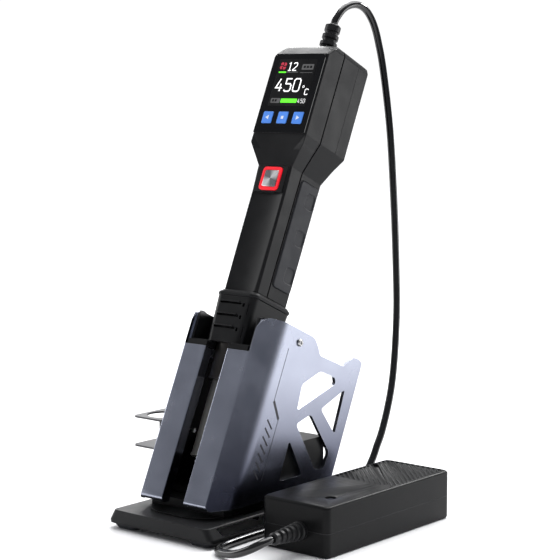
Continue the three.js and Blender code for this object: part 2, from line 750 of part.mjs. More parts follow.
// Centre line of the lower part: down to the table, forward past the adapter, round and
// into the adapter's boot.
const lowerRoute = [
  nearMeeting(GAP), nearMeeting(4), nearMeeting(13), [55.8, 111, 15.5], [56, 90, 6.4], [56, 66, 3.4],
  [55.6, 30, 3.3], [55.4, -8, 3.3], [56, -33, 3.3], [57.6, -51, 3.3], [63.5, -64.5, 3.4],
  [76, -70, 4.6], [90, -73, 8], [101, -71, 13], [106.5, -65, 16.8],
  [adapterBootAt.x, adapter.frontY - adapterBootAt.length - 4, adapterBootAt.z],
  [adapterBootAt.x, adapter.frontY - adapterBootAt.length - 2 * GAP, adapterBootAt.z],
];

function cableTube(route, steps) {
  const path = new THREE.CatmullRomCurve3(route.map((p) => new THREE.Vector3(...p)), false, 'centripetal');
  const section = new THREE.Shape();
  for (let i = 0; i < CABLE_SIDES; i += 1) {
    const angle = (i / CABLE_SIDES) * 2 * Math.PI;
    section.lineTo(CABLE_RADIUS * Math.cos(angle), CABLE_RADIUS * Math.sin(angle));
  }
  return new THREE.ExtrudeGeometry(section, { steps, extrudePath: path, bevelEnabled: false });
}

// ---------------------------------------------------------------- the whole station

const station = new THREE.Group();
station.name = 'hot_air_station';
const placed = group(station, 'placed');

const stand = group(placed, 'stand');
add(stand, 'base_shell', baseShell(), blackPlastic);
const footSpots = {
  front_left: [-38, -50], front_right: [38, -50], rear_left: [-38, 95], rear_right: [38, 95],
};
for (const [corner, [x, y]] of Object.entries(footSpots)) {
  add(stand, `foot_${corner}`, foot(x, y), rubber);
}
add(stand, 'stand_core', standCore(), blackPlastic);
add(stand, 'nozzle_rack', nozzleRack(), greySheet);
rackScrews().forEach(([y, z], i) => {
  const screw = sideScrew(plate.sideHalf + rack.sheet + GAP, y, z, 7)
    .rotateZ(Math.PI).translate(0, 2 * y, 0);
  add(stand, `rack_screw_${i + 1}`, screw, steel);
});
plateScrewHeights().forEach(([y, z], i) => {
  add(stand, `plate_screw_right_${i + 1}`, sideScrew(plate.sideHalf, y, z, 12), steel);
  const left = sideScrew(plate.sideHalf, y, z, 12).rotateZ(Math.PI).translate(0, 2 * y, 0);
  add(stand, `plate_screw_left_${i + 1}`, left, steel);
});

const leaningStand = group(stand, 'leaning_stand');
leaningStand.position.set(...LEAN_ORIGIN);
leaningStand.rotation.x = -LEAN;
add(leaningStand, 'side_plate_left', sidePlate(-1), anodised);
add(leaningStand, 'side_plate_right', sidePlate(1), anodised);
add(leaningStand, 'cradle', cradleBody(), blackPlastic);
add(leaningStand, 'cradle_screw_right', sideScrew(plate.sideHalf, ...cradleScrew, 12), steel);
add(leaningStand, 'cradle_screw_left',
  sideScrew(plate.sideHalf, ...cradleScrew, 12).rotateZ(Math.PI).translate(0, 2 * cradleScrew[0], 0), steel);

const powerAdapter = group(placed, 'power_adapter');
add(powerAdapter, 'adapter_bottom_case', adapterHalf(adapter.splitZ, 0), shellPlastic);
add(powerAdapter, 'adapter_top_case', adapterTop(), shellPlastic);
add(powerAdapter, 'adapter_led_lens', ledLens(), glass);
add(powerAdapter, 'mains_inlet', mainsInlet(), blackPlastic);
inletPins.forEach((at, i) => add(powerAdapter, `inlet_pin_${i + 1}`, inletPin(at), brushed));
add(powerAdapter, 'adapter_board', adapterBoard(), circuit);
add(powerAdapter, 'adapter_transformer', adapterTransformer(), copper);
add(powerAdapter, 'adapter_capacitor', rod(8, 7.9, 31, 24).translate(101, 84, 0), shellPlastic);
add(powerAdapter, 'adapter_heat_sink', heatSink(), brushed);
add(powerAdapter, 'adapter_boot', adapterBoot(), rubber);

const handpiece = group(placed, 'handpiece');
handpiece.position.set(...LEAN_ORIGIN);
handpiece.rotation.x = -LEAN;
add(handpiece, 'front_shell', frontShell(), shellPlastic);
add(handpiece, 'rear_shell', rearShell(), shellPlastic);
add(handpiece, 'grip_left', gripPad(-1), rubber);
add(handpiece, 'grip_right', gripPad(1), rubber);
shellScrews.forEach((at, i) => add(handpiece, `shell_screw_${i + 1}`, shellScrew(at), steel));
add(handpiece, 'display_lens', displayLens(), glass);
add(handpiece, 'display_module', displayModule(), screen);
['left', 'centre', 'right'].forEach((side, i) => add(handpiece, `key_${side}`, keyCap(key.at[i]), blueKey));
add(handpiece, 'key_board', keyBoard(), circuit);
add(handpiece, 'button_panel', buttonPanel(), blackPlastic);
add(handpiece, 'power_ring', powerRing(), redLight);
add(handpiece, 'power_cap', powerCap(), brushed);
add(handpiece, 'power_switch', powerSwitch(), blackPlastic);
add(handpiece, 'control_board', controlBoard(), circuit);
add(handpiece, 'collar_ring', collarRing(), blackPlastic);
add(handpiece, 'vent_collar', ventCollar(), blackPlastic);
add(handpiece, 'heater_sleeve', heaterSleeve(), steel);
add(handpiece, 'nozzle', nozzle(), steel);
add(handpiece, 'heater_core', heaterCore(), ceramic);
add(handpiece, 'fan_housing', fanHousing(), blackPlastic);
add(handpiece, 'fan_rotor', fanRotor(), shellPlastic);
add(handpiece, 'fan_motor', fanMotor(), steel);
add(handpiece, 'head_boot', headBoot(), rubber);

// The row's origin is the middle of the footprint, measured without the cable.
station.updateMatrixWorld(true);
const footprint = new THREE.Box3().setFromObject(placed, true);
placed.position.set(
  -(footprint.min.x + footprint.max.x) / 2, -(footprint.min.y + footprint.max.y) / 2, -footprint.min.z);

const cable = group(placed, 'cable');
add(cable, 'cable_upper', cableTube(upperRoute, 60), cableRubber);
add(cable, 'cable_lower', cableTube(lowerRoute, 44), cableRubber);

export default station;
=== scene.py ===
"""Hot air rework station: the finished look of the station, modelled around its CAD frame.

Shapes are drawn in millimetres in two frames. UPRIGHT stands on the table, and LEANING
leans back with the stand: X is across, Y is depth behind the slot face and Z runs up the lean.
"""
import math

import bmesh
import bpy
from mathutils import Matrix, Vector


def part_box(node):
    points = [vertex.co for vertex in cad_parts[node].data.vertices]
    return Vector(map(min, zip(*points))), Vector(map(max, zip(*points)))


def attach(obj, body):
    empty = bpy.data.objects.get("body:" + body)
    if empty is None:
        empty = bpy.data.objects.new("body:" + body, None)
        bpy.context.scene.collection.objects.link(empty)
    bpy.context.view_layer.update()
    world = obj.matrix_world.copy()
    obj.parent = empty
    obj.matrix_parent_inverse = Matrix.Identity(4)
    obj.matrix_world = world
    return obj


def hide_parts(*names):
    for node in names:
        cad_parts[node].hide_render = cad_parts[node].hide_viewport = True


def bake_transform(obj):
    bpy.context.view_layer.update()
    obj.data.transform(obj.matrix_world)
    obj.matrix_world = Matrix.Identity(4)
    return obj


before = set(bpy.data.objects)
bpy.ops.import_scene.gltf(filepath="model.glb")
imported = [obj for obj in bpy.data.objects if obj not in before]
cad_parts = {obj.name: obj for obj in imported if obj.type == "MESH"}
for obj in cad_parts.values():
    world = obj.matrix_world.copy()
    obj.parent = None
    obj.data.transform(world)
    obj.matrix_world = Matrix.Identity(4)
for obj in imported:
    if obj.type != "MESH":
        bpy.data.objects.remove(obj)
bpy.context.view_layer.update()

scene = bpy.context.scene

# ---------------------------------------------------------------- driving dimensions, mm

MM = 0.001
LEAN = math.radians(24.5)
GAP = 0.3

DECK_HALF, SKIRT_HALF = 47.5, 52.6
BASE_FRONT, BASE_REAR = -61.0, 106.0
DECK_Z, SKIRT_Z, BASE_Z = 15.0, 6.6, 4.0

SHEET = 3.0
SLOT_HALF, FRONT_HALF, SIDE_HALF = 11.0, 33.0, 44.0
FLARE_DEPTH, PLATE_DEPTH = 20.6, 127.6
PLATE_BOTTOM = 23.3
STRIP_TOP, PLATE_TOP = 120.0, 150.6
CRADLE_BOTTOM, CRADLE_FLOOR, CRADLE_TOP, CRADLE_BACK = 120.3, 125.6, 151.0, 61.0
CRADLE_SCREW = (42.1, 141.2)

ADAPTER_X = (70.5, 131.6)
ADAPTER_Y = (-24.5, 129.7)
ADAPTER_HEIGHT, ADAPTER_SPLIT = 38.0, 18.0

SEAM = 22.0
HANDLE_BOTTOM = 168.6
TUBE_DEPTH = 24.3
SLEEVE_RADIUS = 16.3
KEY_X = (-15.4, 0.0, 15.4)
KEY_HEIGHT, KEY_SIZE = 310.5, 10.0
POWER_HEIGHT, POWER_RING, POWER_CAP = 261.5, 19.4, 13.8
BOOT_DEPTH, BOOT_BOTTOM, BOOT_TOP = 29.3, 378.1, 404.0
CABLE_RADIUS = 3.0

base_low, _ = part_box("base_shell")
UPRIGHT = Matrix.Translation((base_low[0] + SKIRT_HALF * MM, base_low[1] - BASE_FRONT * MM, 0))
LEAN_FOOT = Vector((0, -45, 27.7))
LEANING = UPRIGHT @ Matrix.Translation(LEAN_FOOT * MM) @ Matrix.Rotation(-LEAN, 4, "X")


def leaning(y, z):
    """Depth and height in the leaning frame of an upright Y and Z."""
    dy, dz = y - LEAN_FOOT.y, z - LEAN_FOOT.z
    return dy * math.cos(LEAN) - dz * math.sin(LEAN), dy * math.sin(LEAN) + dz * math.cos(LEAN)


def upright(depth, height):
    """Upright Y and Z of a depth and height in the leaning frame."""
    return (
        LEAN_FOOT.y + height * math.sin(LEAN) + depth * math.cos(LEAN),
        LEAN_FOOT.z + height * math.cos(LEAN) - depth * math.sin(LEAN),
    )


# ---------------------------------------------------------------- camera

def make_camera():
    camera = bpy.data.objects.new("camera", bpy.data.cameras.new("camera"))
    camera.data.lens = 109.3
    camera.data.sensor_width = 36
    camera.location = UPRIGHT @ (Vector((860.4, -951.8, 341.8)) * MM)
    camera.rotation_euler = (math.radians(90 - 6.807), 0, math.radians(39.796))
    camera.data.clip_end = 20
    scene.collection.objects.link(camera)
    scene.camera = camera


# ---------------------------------------------------------------- mesh building

def rounded(points, radius=0.0, steps=4):
    """A closed outline with rounded corners; a third number on a point is its own radius."""
    outline = []
    count = len(points)
    for i, point in enumerate(points):
        corner = Vector(point[:2])
        own = point[2] if len(point) > 2 else radius
        to_before = Vector(points[i - 1][:2]) - corner
        to_after = Vector(points[(i + 1) % count][:2]) - corner
        reach = min(own, to_before.length * 0.48, to_after.length * 0.48)
        if reach < 0.01:
            outline.append(corner)
            continue
        start = corner + to_before.normalized() * reach
        end = corner + to_after.normalized() * reach
        for step in range(steps + 1):
            t = step / steps
            outline.append(start * (1 - t) ** 2 + corner * (2 * t * (1 - t)) + end * t * t)
    return outline


def rectangle(x_range, y_range, radius=0.0, steps=4):
    (x0, x1), (y0, y1) = x_range, y_range
    return rounded([(x0, y0), (x1, y0), (x1, y1), (x0, y1)], radius, steps)


def circle(x, y, radius, count=32):
    turn = 2 * math.pi / count
    return [Vector((x + radius * math.cos(i * turn), y + radius * math.sin(i * turn))) for i in range(count)]


AXES = {
    "Z": lambda a, b, h: (a, b, h),
    "X": lambda a, b, h: (h, a, b),
    "Y": lambda a, b, h: (a, h, b),
}


def skinned(bm, rings):
    """Joins rings of vertices with quads, one ring to the next, and caps both ends."""
    count = len(rings[0])
    for lower, upper in zip(rings, rings[1:]):
        for i in range(count):
            j = (i + 1) % count
            bm.faces.new((lower[i], lower[j], upper[j], upper[i]))
    bm.faces.new(list(reversed(rings[0])))
    bm.faces.new(rings[-1])
    return bm


def loft(layers, axis="Z"):
    """A closed skin over a stack of outlines with equal point counts, each (height, outline)."""
    bm = bmesh.new()
    return skinned(bm, [
        [bm.verts.new(AXES[axis](p[0], p[1], height)) for p in outline] for height, outline in layers])


def prism(outline, low, high, axis="Z"):
    return loft([(low, outline), (high, outline)], axis)


def block(x_range, y_range, z_range):
    return prism(rectangle(x_range, y_range), *z_range)


def turned(profile, centre=(0, 0), axis="Z", segments=48, closed=False):
    """A solid of revolution; the profile is (radius, height) and ends on the axis or closes."""
    bm = bmesh.new()
    turn = 2 * math.pi / segments
    rings = []
    for radius, height in profile:
        spots = [0] if radius < 1e-6 else range(segments)
        rings.append([
            bm.verts.new(AXES[axis](
                centre[0] + radius * math.cos(i * turn), centre[1] + radius * math.sin(i * turn), height))
            for i in spots
        ])
    pairs = list(zip(rings, rings[1:])) + ([(rings[-1], rings[0])] if closed else [])
    for lower, upper in pairs:
        for i in range(segments):
            j = (i + 1) % segments
            corners = [
                lower[i % len(lower)], lower[j % len(lower)], upper[j % len(upper)], upper[i % len(upper)],
            ]
            unique = [v for k, v in enumerate(corners) if v not in corners[:k]]
            if len(unique) > 2:
                bm.faces.new(unique)
    return bm


def merged(*parts):
    """One bmesh that holds several, such as a row of cutters that don't touch."""
    bm = bmesh.new()
    for part in parts:
        mesh = bpy.data.meshes.new("part")
        part.to_mesh(mesh)
        part.free()
        bm.from_mesh(mesh)
        bpy.data.meshes.remove(mesh)
    return bm


def shape(name, bm, place):
    """A new object from a bmesh in millimetres, standing in one of the two frames."""
    bmesh.ops.recalc_face_normals(bm, faces=bm.faces)
    bmesh.ops.scale(bm, vec=(MM, MM, MM), verts=bm.verts)
    mesh = bpy.data.meshes.new(name)
    bm.to_mesh(mesh)
    bm.free()
    obj = bpy.data.objects.new(name, mesh)
    scene.collection.objects.link(obj)
    obj.matrix_world = place
    return obj


def settle(obj):
    """Applies every modifier on the object."""
    bpy.context.view_layer.update()
    final = bpy.data.meshes.new_from_object(obj.evaluated_get(bpy.context.evaluated_depsgraph_get()))
    old = obj.data
    obj.modifiers.clear()
    obj.data = final
    bpy.data.meshes.remove(old)
    return obj


def carve(obj, *cutters, operation="DIFFERENCE"):
    """Cuts bmesh solids out of the object, or joins or intersects them with it."""
    tools = [shape("tool", cutter, obj.matrix_world) for cutter in cutters]
    for tool in tools:
        modifier = obj.modifiers.new("carve", "BOOLEAN")
        modifier.operation = operation
        modifier.solver = "EXACT"
        modifier.object = tool
    settle(obj)
    for tool in tools:
        mesh = tool.data
        bpy.data.objects.remove(tool)
        bpy.data.meshes.remove(mesh)
    return obj


def round_edges(obj, width, segments=3, angle=30, keep=False):
    """Bevels every edge sharper than the angle."""
    modifier = obj.modifiers.new("round", "BEVEL")
    modifier.width = width * MM
    modifier.segments = segments
    modifier.limit_method = "ANGLE"
    modifier.angle_limit = math.radians(angle)
    modifier.use_clamp_overlap = True
    modifier.miter_outer = "MITER_ARC"
    return obj if keep else settle(obj)


def complete(obj, look, body, stands_for=(), edge=0.3, segments=2, smooth=38, level=True):
    """Edges, shading, material and body of a finished piece, and hides the CAD parts it stands for; level
    turns its axes upright.
    """
    mesh = obj.data
    if level:
        mesh.transform(UPRIGHT.inverted() @ obj.matrix_world)
        obj.matrix_world = UPRIGHT
    mesh.shade_smooth()
    mesh.set_sharp_from_angle(angle=math.radians(smooth))
    if edge:
        round_edges(obj, edge, segments, 38, keep=True)
        weights = obj.modifiers.new("shading", "WEIGHTED_NORMAL")
        weights.keep_sharp = True
    mesh.materials.clear()
    mesh.materials.append(look)
    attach(obj, body)
    if stands_for:
        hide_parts(*([stands_for] if isinstance(stands_for, str) else stands_for))
    return obj


# ---------------------------------------------------------------- materials

def node(tree, kind, **settings):
    made = tree.nodes.new(kind)
    for name, value in settings.items():
        if name in made.inputs:
            made.inputs[name].default_value = value
        else:
            setattr(made, name, value)
    return made


def maths(tree, operation, *values):
    """A maths node fed with sockets or plain numbers."""
    made = node(tree, "ShaderNodeMath", operation=operation)
    for socket, value in zip(made.inputs, values):
        if isinstance(value, (int, float)):
            socket.default_value = value
        else:
            tree.links.new(value, socket)
    return made.outputs["Value"]


def components(tree, vector):
    made = node(tree, "ShaderNodeSeparateXYZ")
    tree.links.new(vector, made.inputs["Vector"])
    return made.outputs


def noise(tree, coordinates, scale, detail=3.0, stretch=(1, 1, 1)):
    mapping = node(tree, "ShaderNodeMapping")
    mapping.inputs["Scale"].default_value = stretch
    tree.links.new(coordinates.outputs["Object"], mapping.inputs["Vector"])
    texture = node(tree, "ShaderNodeTexNoise", Scale=scale, Detail=detail)
    tree.links.new(mapping.outputs["Vector"], texture.inputs["Vector"])
    return texture.outputs["Fac"]


def ranged(tree, value, low, high, start=0.3, end=0.7):
    made = node(tree, "ShaderNodeMapRange")
    made.inputs["From Min"].default_value = start
    made.inputs["From Max"].default_value = end
    made.inputs["To Min"].default_value = low
    made.inputs["To Max"].default_value = high
    tree.links.new(value, made.inputs["Value"])
    return made.outputs["Result"]


def mixed(tree, factor, first, second):
    made = node(tree, "ShaderNodeMix", data_type="RGBA")
    tree.links.new(factor, made.inputs["Factor"])
    for socket, colour in ((made.inputs[6], first), (made.inputs[7], second)):
        if isinstance(colour, tuple):
            socket.default_value = (*colour, 1)
        else:
            tree.links.new(colour, socket)
    return made.outputs[2]


def wear_and_highlight_mask(tree, radius, coordinates):
    """Bright where a corner is rounded over, broken up by noise: where handling rubs a finish, and a painted
    highlight along the edges.
    """
    soft = node(tree, "ShaderNodeBevel", samples=4)
    soft.inputs["Radius"].default_value = radius * MM
    flat = node(tree, "ShaderNodeNewGeometry")
    dot = node(tree, "ShaderNodeVectorMath", operation="DOT_PRODUCT")
    tree.links.new(soft.outputs["Normal"], dot.inputs[0])
    tree.links.new(flat.outputs["Normal"], dot.inputs[1])
    sharp = ranged(tree, dot.outputs["Value"], 1.0, 0.0, 0.78, 0.97)
    patchy = ranged(tree, noise(tree, coordinates, 260, 4), 0.35, 1.0, 0.35, 0.65)
    return maths(tree, "MULTIPLY", sharp, patchy)


def painted_low_shade_mask(tree, coordinates):
    """How low a point lies on faces that look sideways, for the painted shade low on the plates: sideways
    faces darker towards the bottom.
    """
    normal = components(tree, node(tree, "ShaderNodeNewGeometry").outputs["Normal"])
    sideways = ranged(tree, maths(tree, "ABSOLUTE", normal["X"]), 0, 1, 0.5, 0.85)
    low = ranged(tree, components(tree, coordinates.outputs["Object"])["Z"], 1, 0, 0.035, 0.115)
    return maths(tree, "MULTIPLY", sideways, low)


def make_look(
    name, colour, roughness, metallic=0.0, grain=2500, bump=0.1, depth=0.05, shade=0.12,
    wear_and_highlight=None, wear_and_highlight_radius=0.5, stretch=(1, 1, 1), uneven=0.06, painted_low_shade=None, **extra
):
    """A principled finish with fine grain, uneven tone and gloss, and rubbed edges.

    grain is features per metre, depth the grain's height in mm, shade how much the tone
    varies, uneven how much the gloss varies, wear_and_highlight the colour that edges rub through to,
    which also paints highlights along the edges, and painted_low_shade the painted shade that
    sideways faces take low down.
    """
    look = bpy.data.materials.new(name)
    look.use_nodes = True
    tree = look.node_tree
    shader = tree.nodes["Principled BSDF"]
    coordinates = node(tree, "ShaderNodeTexCoord")
    fine = noise(tree, coordinates, grain, 4, stretch)
    broad = noise(tree, coordinates, 45, 3)
    dark = tuple(c * (1 - shade) for c in colour)
    light = tuple(min(1, c * (1 + shade)) for c in colour)
    tone = mixed(tree, ranged(tree, broad, 0, 1), dark, light)
    speckle = mixed(tree, ranged(tree, fine, 0, 1), dark, light)
    blend = node(tree, "ShaderNodeMix", data_type="RGBA")
    blend.inputs["Factor"].default_value = 0.5
    tree.links.new(tone, blend.inputs[6])
    tree.links.new(speckle, blend.inputs[7])
    result = blend.outputs[2]
    # painted shade: sideways faces darken towards the bottom
    if painted_low_shade:
        result = mixed(tree, painted_low_shade_mask(tree, coordinates), result, painted_low_shade)
    # rubbed edges in the edge colour, which also paints highlights along the edges
    if wear_and_highlight:
        result = mixed(tree, wear_and_highlight_mask(tree, wear_and_highlight_radius, coordinates), result, wear_and_highlight)
    tree.links.new(result, shader.inputs["Base Color"])
    gloss = ranged(tree, broad, max(0.02, roughness - uneven), roughness + uneven)
    tree.links.new(gloss, shader.inputs["Roughness"])
    shader.inputs["Metallic"].default_value = metallic
    relief = node(tree, "ShaderNodeBump", Strength=bump)
    relief.inputs["Distance"].default_value = depth * MM
    tree.links.new(fine, relief.inputs["Height"])
    tree.links.new(relief.outputs["Normal"], shader.inputs["Normal"])
    for socket, value in extra.items():
        shader.inputs[socket.replace("_", " ")].default_value = value
    return look


def make_glow(name, colour, strength):
    """A lit surface, such as a display's segments, over its own slightly uneven colour."""
    look = make_look(name, colour, 0.35, grain=3000, bump=0.02, shade=0.05)
    shader = look.node_tree.nodes["Principled BSDF"]
    shader.inputs["Emission Color"].default_value = (*colour, 1)
    shader.inputs["Emission Strength"].default_value = strength
    return look


def make_brushed_cap(name, centre):
    """Metal brushed round a centre, so that its streaks run outwards to the edges, with a painted sheen:
    lighter and darker quarters by angle round the centre.
    """
    look = bpy.data.materials.new(name)
    look.use_nodes = True
    tree = look.node_tree
    shader = tree.nodes["Principled BSDF"]
    coordinates = node(tree, "ShaderNodeTexCoord")
    shift = node(tree, "ShaderNodeVectorMath", operation="SUBTRACT")
    shift.inputs[1].default_value = centre
    tree.links.new(coordinates.outputs["Object"], shift.inputs[0])
    parts = components(tree, shift.outputs["Vector"])
    # painted sheen: a cross of painted highlights by angle round the centre, in the base colour
    angle = maths(tree, "ARCTAN2", parts["Z"], parts["X"])
    wave = maths(tree, "SINE", maths(tree, "MULTIPLY", angle, 2))
    painted_sheen_by_angle = ranged(tree, wave, 0, 1, -0.6, 0.9)
    painted_sheen_colour = mixed(tree, painted_sheen_by_angle, (0.2, 0.2, 0.21), (1.0, 1.0, 1.0))
    spin = node(tree, "ShaderNodeCombineXYZ")
    tree.links.new(angle, spin.inputs["X"])
    streak = node(tree, "ShaderNodeTexNoise", Scale=14, Detail=6)
    tree.links.new(spin.outputs["Vector"], streak.inputs["Vector"])
    streaky = mixed(tree, ranged(tree, streak.outputs["Fac"], 0, 0.35), painted_sheen_colour, (0.42, 0.42, 0.44))
    tree.links.new(streaky, shader.inputs["Base Color"])
    shader.inputs["Metallic"].default_value = 1
    tree.links.new(ranged(tree, streak.outputs["Fac"], 0.24, 0.4), shader.inputs["Roughness"])
    relief = node(tree, "ShaderNodeBump", Strength=0.12)
    relief.inputs["Distance"].default_value = 0.05 * MM
    tree.links.new(streak.outputs["Fac"], relief.inputs["Height"])
    tree.links.new(relief.outputs["Normal"], shader.inputs["Normal"])
    return look


POWER_CENTRE = Vector((0, 8, POWER_HEIGHT)) * MM

# painted shade: the sheet's sides darken low down in the painted_low_shade colour
# the anodised sheet's near-white edge colour is rubbed-through metal and a painted highlight along the edges
anodised = make_look(
    "anodised_sheet", (0.36, 0.38, 0.455), 0.25, 1.0, grain=2600, bump=0.07, depth=0.03,
    shade=0.1, wear_and_highlight=(0.85, 0.87, 0.94), wear_and_highlight_radius=0.4, uneven=0.03, painted_low_shade=(0.07, 0.075, 0.11))
base_plastic = make_look(
    "textured_plastic", (0.008, 0.0082, 0.009), 0.42, grain=1500, bump=0.5, depth=0.1,
    shade=0.3, wear_and_highlight=(0.04, 0.04, 0.042), wear_and_highlight_radius=0.6, Specular_IOR_Level=0.2)
smooth_plastic = make_look(
    "smooth_black_plastic", (0.006, 0.0062, 0.0068), 0.36, grain=2600, bump=0.15, depth=0.04,
    shade=0.2, wear_and_highlight=(0.035, 0.035, 0.038), wear_and_highlight_radius=0.5, Specular_IOR_Level=0.18)
shell_plastic = make_look(
    "shell_plastic", (0.0095, 0.0097, 0.0105), 0.36, grain=2400, bump=0.2, depth=0.05,
    shade=0.16, wear_and_highlight=(0.06, 0.06, 0.064), wear_and_highlight_radius=0.4, Specular_IOR_Level=0.15)
# the adapter's lighter edge colour is mostly a painted highlight along its edges
adapter_plastic = make_look(
    "adapter_plastic", (0.006, 0.0061, 0.0066), 0.36, grain=1700, bump=0.4, depth=0.08,
    shade=0.22, wear_and_highlight=(0.07, 0.07, 0.073), wear_and_highlight_radius=0.5, Specular_IOR_Level=0.12)
soft_rubber = make_look(
    "soft_rubber", (0.017, 0.018, 0.022), 0.55, grain=2000, bump=0.25, depth=0.06,
    shade=0.18, wear_and_highlight=(0.045, 0.047, 0.053), wear_and_highlight_radius=0.6, uneven=0.1, Specular_IOR_Level=0.35)
boot_rubber = make_look(
    "boot_rubber", (0.006, 0.006, 0.007), 0.42, grain=2100, bump=0.2, depth=0.05, shade=0.2,
    Specular_IOR_Level=0.4)
cable_rubber = make_look(
    "cable_jacket", (0.003, 0.003, 0.0035), 0.16, grain=1500, bump=0.05, depth=0.03, shade=0.2,
    stretch=(1, 1, 0.1), uneven=0.03, Specular_IOR_Level=0.6)
grey_sheet = make_look(
    "grey_sheet", (0.1, 0.1, 0.103), 0.5, 0.5, grain=2600, bump=0.12, depth=0.03,
    shade=0.1, wear_and_highlight=(0.16, 0.16, 0.165), wear_and_highlight_radius=0.3,
    Specular_IOR_Level=0.2)
steel = make_look(
    "turned_steel", (0.5, 0.5, 0.5), 0.28, 1.0, grain=900, bump=0.12, depth=0.03,
    shade=0.14, stretch=(1, 1, 14))
nozzle_steel = make_look(
    "nozzle_steel", (0.2, 0.195, 0.18), 0.45, 0.7, grain=900, bump=0.12, depth=0.03,
    shade=0.2, stretch=(1, 1, 14))
tinted_steel = make_look(
    "heat_tinted_steel", (0.05, 0.046, 0.044), 0.34, 0.9, grain=900, bump=0.12, depth=0.03,
    shade=0.3, stretch=(1, 1, 10))
lens_glass = make_look(
    "display_glass", (0.003, 0.0032, 0.004), 0.12, grain=3000, bump=0.02, depth=0.02,
    shade=0.1, uneven=0.04, Specular_IOR_Level=0.25)
# painted shade: a black sheet with its reflections nearly off, for the shade inside the slot
slot_shade_black = make_look(
    "painted_slot_shade", (0.002, 0.002, 0.0022), 0.8, grain=1500, bump=0.3, depth=0.05,
    shade=0.2, Specular_IOR_Level=0.03)
screen_black = make_look(
    "screen_black", (0.002, 0.002, 0.0025), 0.3, grain=3000, bump=0.02, depth=0.02, shade=0.1,
    Specular_IOR_Level=0.2)
key_blue = make_look(
    "key_blue", (0.085, 0.3, 0.95), 0.34, grain=2600, bump=0.06, depth=0.03, shade=0.06)
key_mark = make_look("key_mark", (0.9, 0.93, 1.0), 0.4, grain=3000, bump=0.02, shade=0.02)
plate_paint = make_look("plate_paint", (0.01, 0.011, 0.02), 0.5, grain=2600, bump=0.1, shade=0.1)
ring_red = make_glow("ring_red", (0.62, 0.004, 0.014), 0.75)
glow_white = make_glow("glow_white", (0.95, 0.95, 0.95), 0.9)
glow_green = make_glow("glow_green", (0.11, 0.85, 0.02), 0.7)
glow_red = make_glow("glow_red", (0.4, 0.015, 0.04), 0.5)
glow_grey = make_glow("glow_grey", (0.09, 0.09, 0.09), 0.2)
power_metal = make_brushed_cap("brushed_cap", POWER_CENTRE)
board_green = make_look("circuit_lacquer", (0.02, 0.12, 0.06), 0.3, grain=800, bump=0.2, shade=0.3)
copper = make_look("copper_winding", (0.55, 0.22, 0.08), 0.35, 0.9, grain=900, bump=0.4, shade=0.2)
ceramic = make_look("ceramic", (0.7, 0.68, 0.6), 0.7, grain=1400, bump=0.3, shade=0.1)


# ---------------------------------------------------------------- cable

def near_meeting(distance):
    heading = Vector((1.2, -15.5, -22.2)).normalized()
    return Vector((54.6, 138.4, 45)) + heading * distance


def cable_route():
    """The cable's centre line in millimetres, upright, from the head's boot to the adapter's."""
    boot_y, boot_z = upright(BOOT_DEPTH, BOOT_TOP + GAP)
    rise_y, rise_z = upright(BOOT_DEPTH, BOOT_TOP + 4)
    end_y = ADAPTER_Y[0] - 31
    return [Vector(p) for p in (
        (0, boot_y, boot_z), (0, rise_y, rise_z), (0.1, 154.2, 390.7), (0.5, 160.2, 396.2), (1, 166.5, 399.3),
        (1.7, 173.8, 400.8), (2.6, 181.3, 400.1), (3.7, 188.1, 396.4), (5.4, 193.5, 389.1),
        (7.4, 196.3, 380.2), (9.8, 197.8, 368.3), (12.6, 198.8, 353.4), (22, 196.8, 302.4),
        (30, 192.1, 248.1), (38, 185.4, 191.3),
        (45, 177.1, 142.7), (51, 162.7, 90.3), near_meeting(-13), near_meeting(0), near_meeting(13),
        (55.8, 111, 15.5), (56, 90, 6.4), (56, 66, 3.4), (55.6, 30, 3.3), (55.4, -8, 3.3), (56, -33, 3.3),
        (57.6, -51, 3.3), (63.5, -64.5, 3.4), (76, -70, 4.6), (90, -73, 8), (101, -71, 13),
        (106.5, -65, 16.8), (107, end_y - 4, 17.5), (107, end_y - 2 * GAP, 17.5),
    )]


def smooth_line(points, spacing):
    """A centripetal Catmull-Rom line through the points, with points at an even spacing."""
    padded = [points[0] * 2 - points[1], *points, points[-1] * 2 - points[-2]]
    dense = []
    for p0, p1, p2, p3 in zip(padded, padded[1:], padded[2:], padded[3:]):
        t1 = (p1 - p0).length ** 0.5
        t2 = t1 + (p2 - p1).length ** 0.5
        t3 = t2 + (p3 - p2).length ** 0.5
        for step in range(24):
            t = t1 + (t2 - t1) * step / 24
            a1 = p0.lerp(p1, t / t1)
            a2 = p1.lerp(p2, (t - t1) / (t2 - t1))
            a3 = p2.lerp(p3, (t - t2) / (t3 - t2))
            dense.append(a1.lerp(a2, t / t2).lerp(a2.lerp(a3, (t - t1) / (t3 - t1)), (t - t1) / (t2 - t1)))
    dense.append(points[-1])
    line, carried = [dense[0]], 0.0
    for before, after in zip(dense, dense[1:]):
        carried += (after - before).length
        if carried >= spacing:
            line.append(after)
            carried = 0.0
    line[-1] = dense[-1]
    return line


def tube_along(line, radius, sides=20):
    """A closed tube round a line, its rings turned as little as possible from one to the next."""
    bm = bmesh.new()
    side = Vector((1, 0, 0))
    rings = []
    for i, point in enumerate(line):
        heading = (line[min(i + 1, len(line) - 1)] - line[max(i - 1, 0)]).normalized()
        side = (side - heading * side.dot(heading)).normalized()
        up = heading.cross(side)
        turn = 2 * math.pi / sides
        rings.append([
            bm.verts.new(point + (side * math.cos(k * turn) + up * math.sin(k * turn)) * radius)
            for k in range(sides)
        ])
    return skinned(bm, rings)


